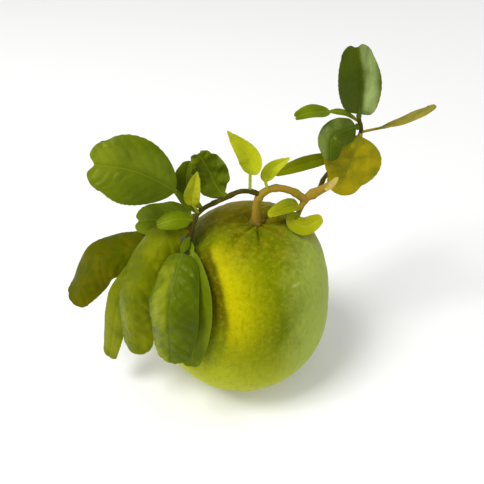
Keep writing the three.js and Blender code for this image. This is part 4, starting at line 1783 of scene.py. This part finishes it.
@dataclass(frozen=True)
class Foliage:
    """All the leaves."""

    def build(self) -> None:
        """Makes each leaf in turn, with a seed of its own."""
        for seed, leaf in enumerate(self._leaves()):
            replace(leaf, seed=seed).build()

    @staticmethod
    def _leaf(
        name: str,
        kind: LeafKind,
        apex: Apex,
        midrib: Sequence[Point],
        facing: Point,
        *sizes: float,
        **more: float,
    ) -> Leaf:
        """One leaf, its slot read from the record.

        Args:
            name, kind, apex, midrib, facing: as in Leaf.
            sizes: its numbers from width to waves, in Leaf's order.
            more: its pucker and veins, where they aren't the usual ones.

        Returns:
            The leaf.
        """
        return Leaf(name, kind, SLOTS[name], apex, tuple(midrib), facing, *sizes, **more)

    def _leaves(self) -> list[Leaf]:
        """Every leaf, in the order in which they are made.

        Returns:
            The leaves.
        """
        leaf = self._leaf
        mature, dark, olive, bronze = LeafKind.MATURE, LeafKind.DARK, LeafKind.OLIVE, LeafKind.BRONZE
        fresh, young, budding = LeafKind.FRESH, LeafKind.YOUNG, LeafKind.BUDDING
        yellowing, sheened, large = LeafKind.YELLOWING, LeafKind.SHEENED, LeafKind.LARGE
        hanging = LeafKind.HANGING
        return [
            leaf("leaf_large", large, Apex.NOTCHED,
                 [(-31.5, -7.5, 172.5), (-39, -8, 180), (-46, -8, 191), (-74, -8, 209.5), (-107, -8, 216)],
                 (0.1, -0.7, 0.7), 50, 0.33, 3, 0.67, 0.47, 6, -14, 0, 0.8, 1.5, pucker=0.8, veins=8),
            leaf("leaf_behind_large", fresh, Apex.NOTCHED,
                 [(-32.5, -8.5, 170), (-43, -2.2, 165.5), (-64, 5, 157), (-82.5, 7.5, 153)],
                 (-0.1, -0.42, 0.9), 29.5, 0.12, 3, 0.68, 0.45, 6, -12, 0, 1.2, 2.5, pucker=0.4),
            leaf("leaf_upright_wing", mature, Apex.ROUNDED,
                 [(-28, -6, 175), (-36, 1, 180), (-40, 7, 193), (-37, 11, 206)],
                 (0, -0.8, 0.5), 19, 0.26, 3, 0.6, 0.6, 14, 10, 0, 0.8, 1.5),
            leaf("leaf_crumpled", mature, Apex.NOTCHED,
                 [(-10, -3, 184.5), (-16, -1, 189), (-23, 2, 204), (-31, 2, 220)],
                 (-0.1, -0.8, 0.5), 28, 0.08, 2, 0.6, 0.52, 12, 14, 8, 3.4, 3.5, pucker=2.8, veins=6),
            leaf("leaf_young_upright", young, Apex.POINTED,
                 [(-31, -8, 173), (-34.5, -11, 185), (-33, -12, 198), (-30, -11, 211)],
                 (-0.2, -0.8, 0.5), 12.5, 0.3, 0, 0.44, 0.65, 18, 10, 14, 0.8, 2, pucker=0.8, veins=6),
            leaf("leaf_small_oval", fresh, Apex.ROUNDED,
                 [(-34, -10.5, 168.5), (-48, -17, 174), (-61, -20, 171)],
                 (-0.2, -0.6, 0.8), 15, 0.14, 1, 0.55, 0.6, 4, -30, 0, 0.4, 1),
            leaf("leaf_left", bronze, Apex.ROUNDED,
                 [(-35, -11.5, 166.5), (-70, -7, 140.5), (-110.5, -6, 126.5), (-138.5, -15, 86)],
                 (-0.35, -0.5, 0.75), 40, 0.26, 3, 0.56, 0.42, -6, -34, -8, 2.2, 3, pucker=1.2),
            leaf("leaf_hanging_outer", olive, Apex.ROUNDED,
                 [(-36, -12.5, 164.5), (-57, -16.5, 150.5), (-92, -24, 109), (-112, -31, 36.5)],
                 (-0.4, -0.75, 0.45), 22, 0.14, 3, 0.62, 0.5, 8, -20, 0, 1, 2, pucker=0.5, veins=13),
            leaf("leaf_hanging_broad", olive, Apex.ROUNDED,
                 [(-36.5, -14, 162), (-56, -20.2, 158), (-81, -41.5, 123), (-85, -52, 66)],
                 (-0.4, -0.75, 0.55), 48, 0.08, 3, 0.53, 0.4, -10, -44, 0, 1.2, 2, pucker=1.4, veins=11),
            leaf("leaf_hanging_front", hanging, Apex.ROUNDED,
                 [(-37.5, -15, 158), (-42.5, -30, 153.5), (-50.5, -63, 132), (-51.5, -76, 84)],
                 (-0.3, -0.8, 0.5), 43, 0.18, 4, 0.6, 0.33, 0, -44, 0, 0.8, 2, pucker=1.8, veins=9),
            leaf("leaf_hanging_inner", fresh, Apex.ROUNDED,
                 [(-38.5, -16.5, 154), (-35, -30, 151), (-30.5, -55, 129.5), (-38, -69.5, 72)],
                 (-0.1, -0.9, 0.4), 23, 0.12, 3, 0.6, 0.6, 12, 12, -8, 0.8, 2, pucker=0.6, veins=10),
            leaf("leaf_young_pointed", budding, Apex.POINTED,
                 [(7, 1, 186.5), (7, 2, 199), (7, 2, 213), (-9, 0, 237)],
                 (-0.25, -0.75, 0.6), 17, 0.3, 0, 0.34, 0.8, 10, 8, 0, 0.5, 1.5, pucker=0.2),
            leaf("leaf_young_small", budding, Apex.POINTED,
                 [(20, 3.5, 186), (18.5, 5, 194.5), (23, 8, 201), (36, 11, 209)],
                 (-0.2, -0.75, 0.6), 11, 0.26, 0, 0.36, 0.8, 12, 10, 10, 0.5, 1.5, pucker=0.2),
            leaf("leaf_young_folded", young, Apex.ROUNDED,
                 [(46, 6.5, 168.5), (35, 0, 172), (20.5, -5, 168)],
                 (0, -0.45, 0.9), 14, 0.1, 0, 0.5, 0.65, 26, 16, 0, 0.5, 1, pucker=0.2),
            leaf("leaf_young_curved", young, Apex.ROUNDED,
                 [(44.8, 4.7, 165), (40, -3.5, 162.5), (47.5, -6, 158.5), (62, 0, 162.5)],
                 (0.05, -0.7, 0.7), 15, 0.1, 0, 0.55, 0.6, 8, 26, 0, 0.6, 1, pucker=0.2),
            leaf("leaf_yellowing", yellowing, Apex.ROUNDED,
                 [(92.5, 48, 207), (91, 40, 204), (85.5, 34, 187), (77, 27, 165)],
                 (0.1, -0.85, 0.5), 46, 0.08, 0, 0.55, 0.55, 4, -16, 0, 1, 2, pucker=0.5, veins=8),
            leaf("leaf_top", sheened, Apex.NOTCHED,
                 [(90, 49, 219), (88.5, 49.5, 247), (81.5, 52, 278)],
                 (-0.3, -0.85, 0.4), 35, 0.1, 2, 0.56, 0.35, 24, 8, 0, 0.6, 1.5, pucker=0.25, veins=8),
            leaf("leaf_top_left", fresh, Apex.NOTCHED,
                 [(90.5, 50, 216.5), (80, 53, 222), (62, 46.4, 226.9), (52, 42, 228.8), (40, 40, 225.5)],
                 (0, -0.5, 0.86), 12.5, 0.5, 3.5, 0.55, 0.6, 10, 14, 0, 0.4, 1),
            leaf("leaf_middle_left", dark, Apex.ROUNDED,
                 [(92, 49, 213.5), (82, 44, 213.5), (70, 38, 210), (69, 32, 193)],
                 (-0.3, -0.8, 0.5), 23, 0.14, 3, 0.5, 0.5, 8, -20, 0, 0.6, 1.5),
            leaf("leaf_right", yellowing, Apex.ROUNDED,
                 [(93, 49, 208), (121, 50, 216), (147.5, 51, 229.5)],
                 (-0.3, 0.25, 0.9), 23, 0.26, 0, 0.76, 0.6, 4, -8, 0, 0.4, 1.5),
            leaf("leaf_low_left", olive, Apex.POINTED,
                 [(82, 47.5, 185), (70, 44, 188), (52, 38, 187), (23, 27, 183.5)],
                 (0, -0.7, 0.7), 11.5, 0.2, 2, 0.42, 0.75, 8, 8, 0, 0.6, 2, pucker=0.25),
        ]


@dataclass(frozen=True)
class Lamp:
    """A square soft light.

    Args:
        name: the light's name.
        place: where it hangs.
        size: its side.
        power: its strength in watts.
    """

    name: str
    place: Point
    size: float
    power: float


@dataclass(frozen=True)
class Studio:
    """The pale floor, the soft lights and the camera at the photograph's angle."""

    lamps: tuple[Lamp, ...] = (
        Lamp("key", (-920, -570, 1980), 800, 34),
        Lamp("front_fill", (1360, -1760, 1360), 1540, 8),
        Lamp("window", (-2060, -620, 520), 1000, 14),
        Lamp("side", (1980, 920, 920), 1540, 10),
    )
    lamp_target: Point = (0, 0, 110)
    camera_place: Point = (1.035, -372.07, 450.52)
    camera_elevation: float = 40.0
    camera_lens: float = 46.0
    floor_size: float = 12000.0
    floor_colour: Colour = (0.9, 0.9, 0.895, 1.0)
    sky_colour: Colour = (1.0, 1.0, 1.0, 1.0)
    sky_strength: float = 0.5

    def build(self) -> None:
        """Sets up the whole studio."""
        self._floor()
        self._sky()
        for lamp in self.lamps:
            self._hang(lamp)
        self._camera()
        bpy.context.scene.view_settings.view_transform = "Standard"

    def _floor(self) -> None:
        """A plain pale floor."""
        deselect_all()
        bpy.ops.mesh.primitive_plane_add(size=self.floor_size * MM, location=(0, 0, 0))
        floor = newest("floor")
        sheet = Sheet("floor")
        floor.data.materials.append(sheet.finish(self.floor_colour, 0.9, specular_ior_level=0.0))

    def _sky(self) -> None:
        """An even white light from all around."""
        world = bpy.data.worlds.new("studio")
        world.use_nodes = True
        background = world.node_tree.nodes["Background"]
        background.inputs["Color"].default_value = self.sky_colour
        background.inputs["Strength"].default_value = self.sky_strength
        bpy.context.scene.world = world

    def _hang(self, lamp: Lamp) -> None:
        """Adds a light and turns it to the fruit.

        Args:
            lamp: the light's place, size and power.
        """
        light = bpy.data.lights.new(lamp.name, "AREA")
        light.size = lamp.size * MM
        light.energy = lamp.power
        hung = bpy.data.objects.new(lamp.name, light)
        bpy.context.scene.collection.objects.link(hung)
        spot = Vector(lamp.place) * MM
        hung.location = spot
        hung.rotation_euler = (Vector(self.lamp_target) * MM - spot).to_track_quat("-Z", "Y").to_euler()

    def _camera(self) -> None:
        """The camera, looking along +Y and down."""
        lens = bpy.data.cameras.new("camera")
        lens.lens = self.camera_lens
        lens.clip_start = 10 * MM
        camera = bpy.data.objects.new("camera", lens)
        camera.location = Vector(self.camera_place) * MM
        camera.rotation_euler = (math.radians(90 - self.camera_elevation), 0, 0)
        bpy.context.scene.collection.objects.link(camera)
        bpy.context.scene.camera = camera


def main() -> None:
    """Builds every piece, then the studio."""
    logging.basicConfig(level=logging.INFO, format="%(message)s")
    Fruit().build()
    Calyx().build()
    Stems().build()
    Foliage().build()
    Studio().build()


if __name__ == "__main__":
    main()
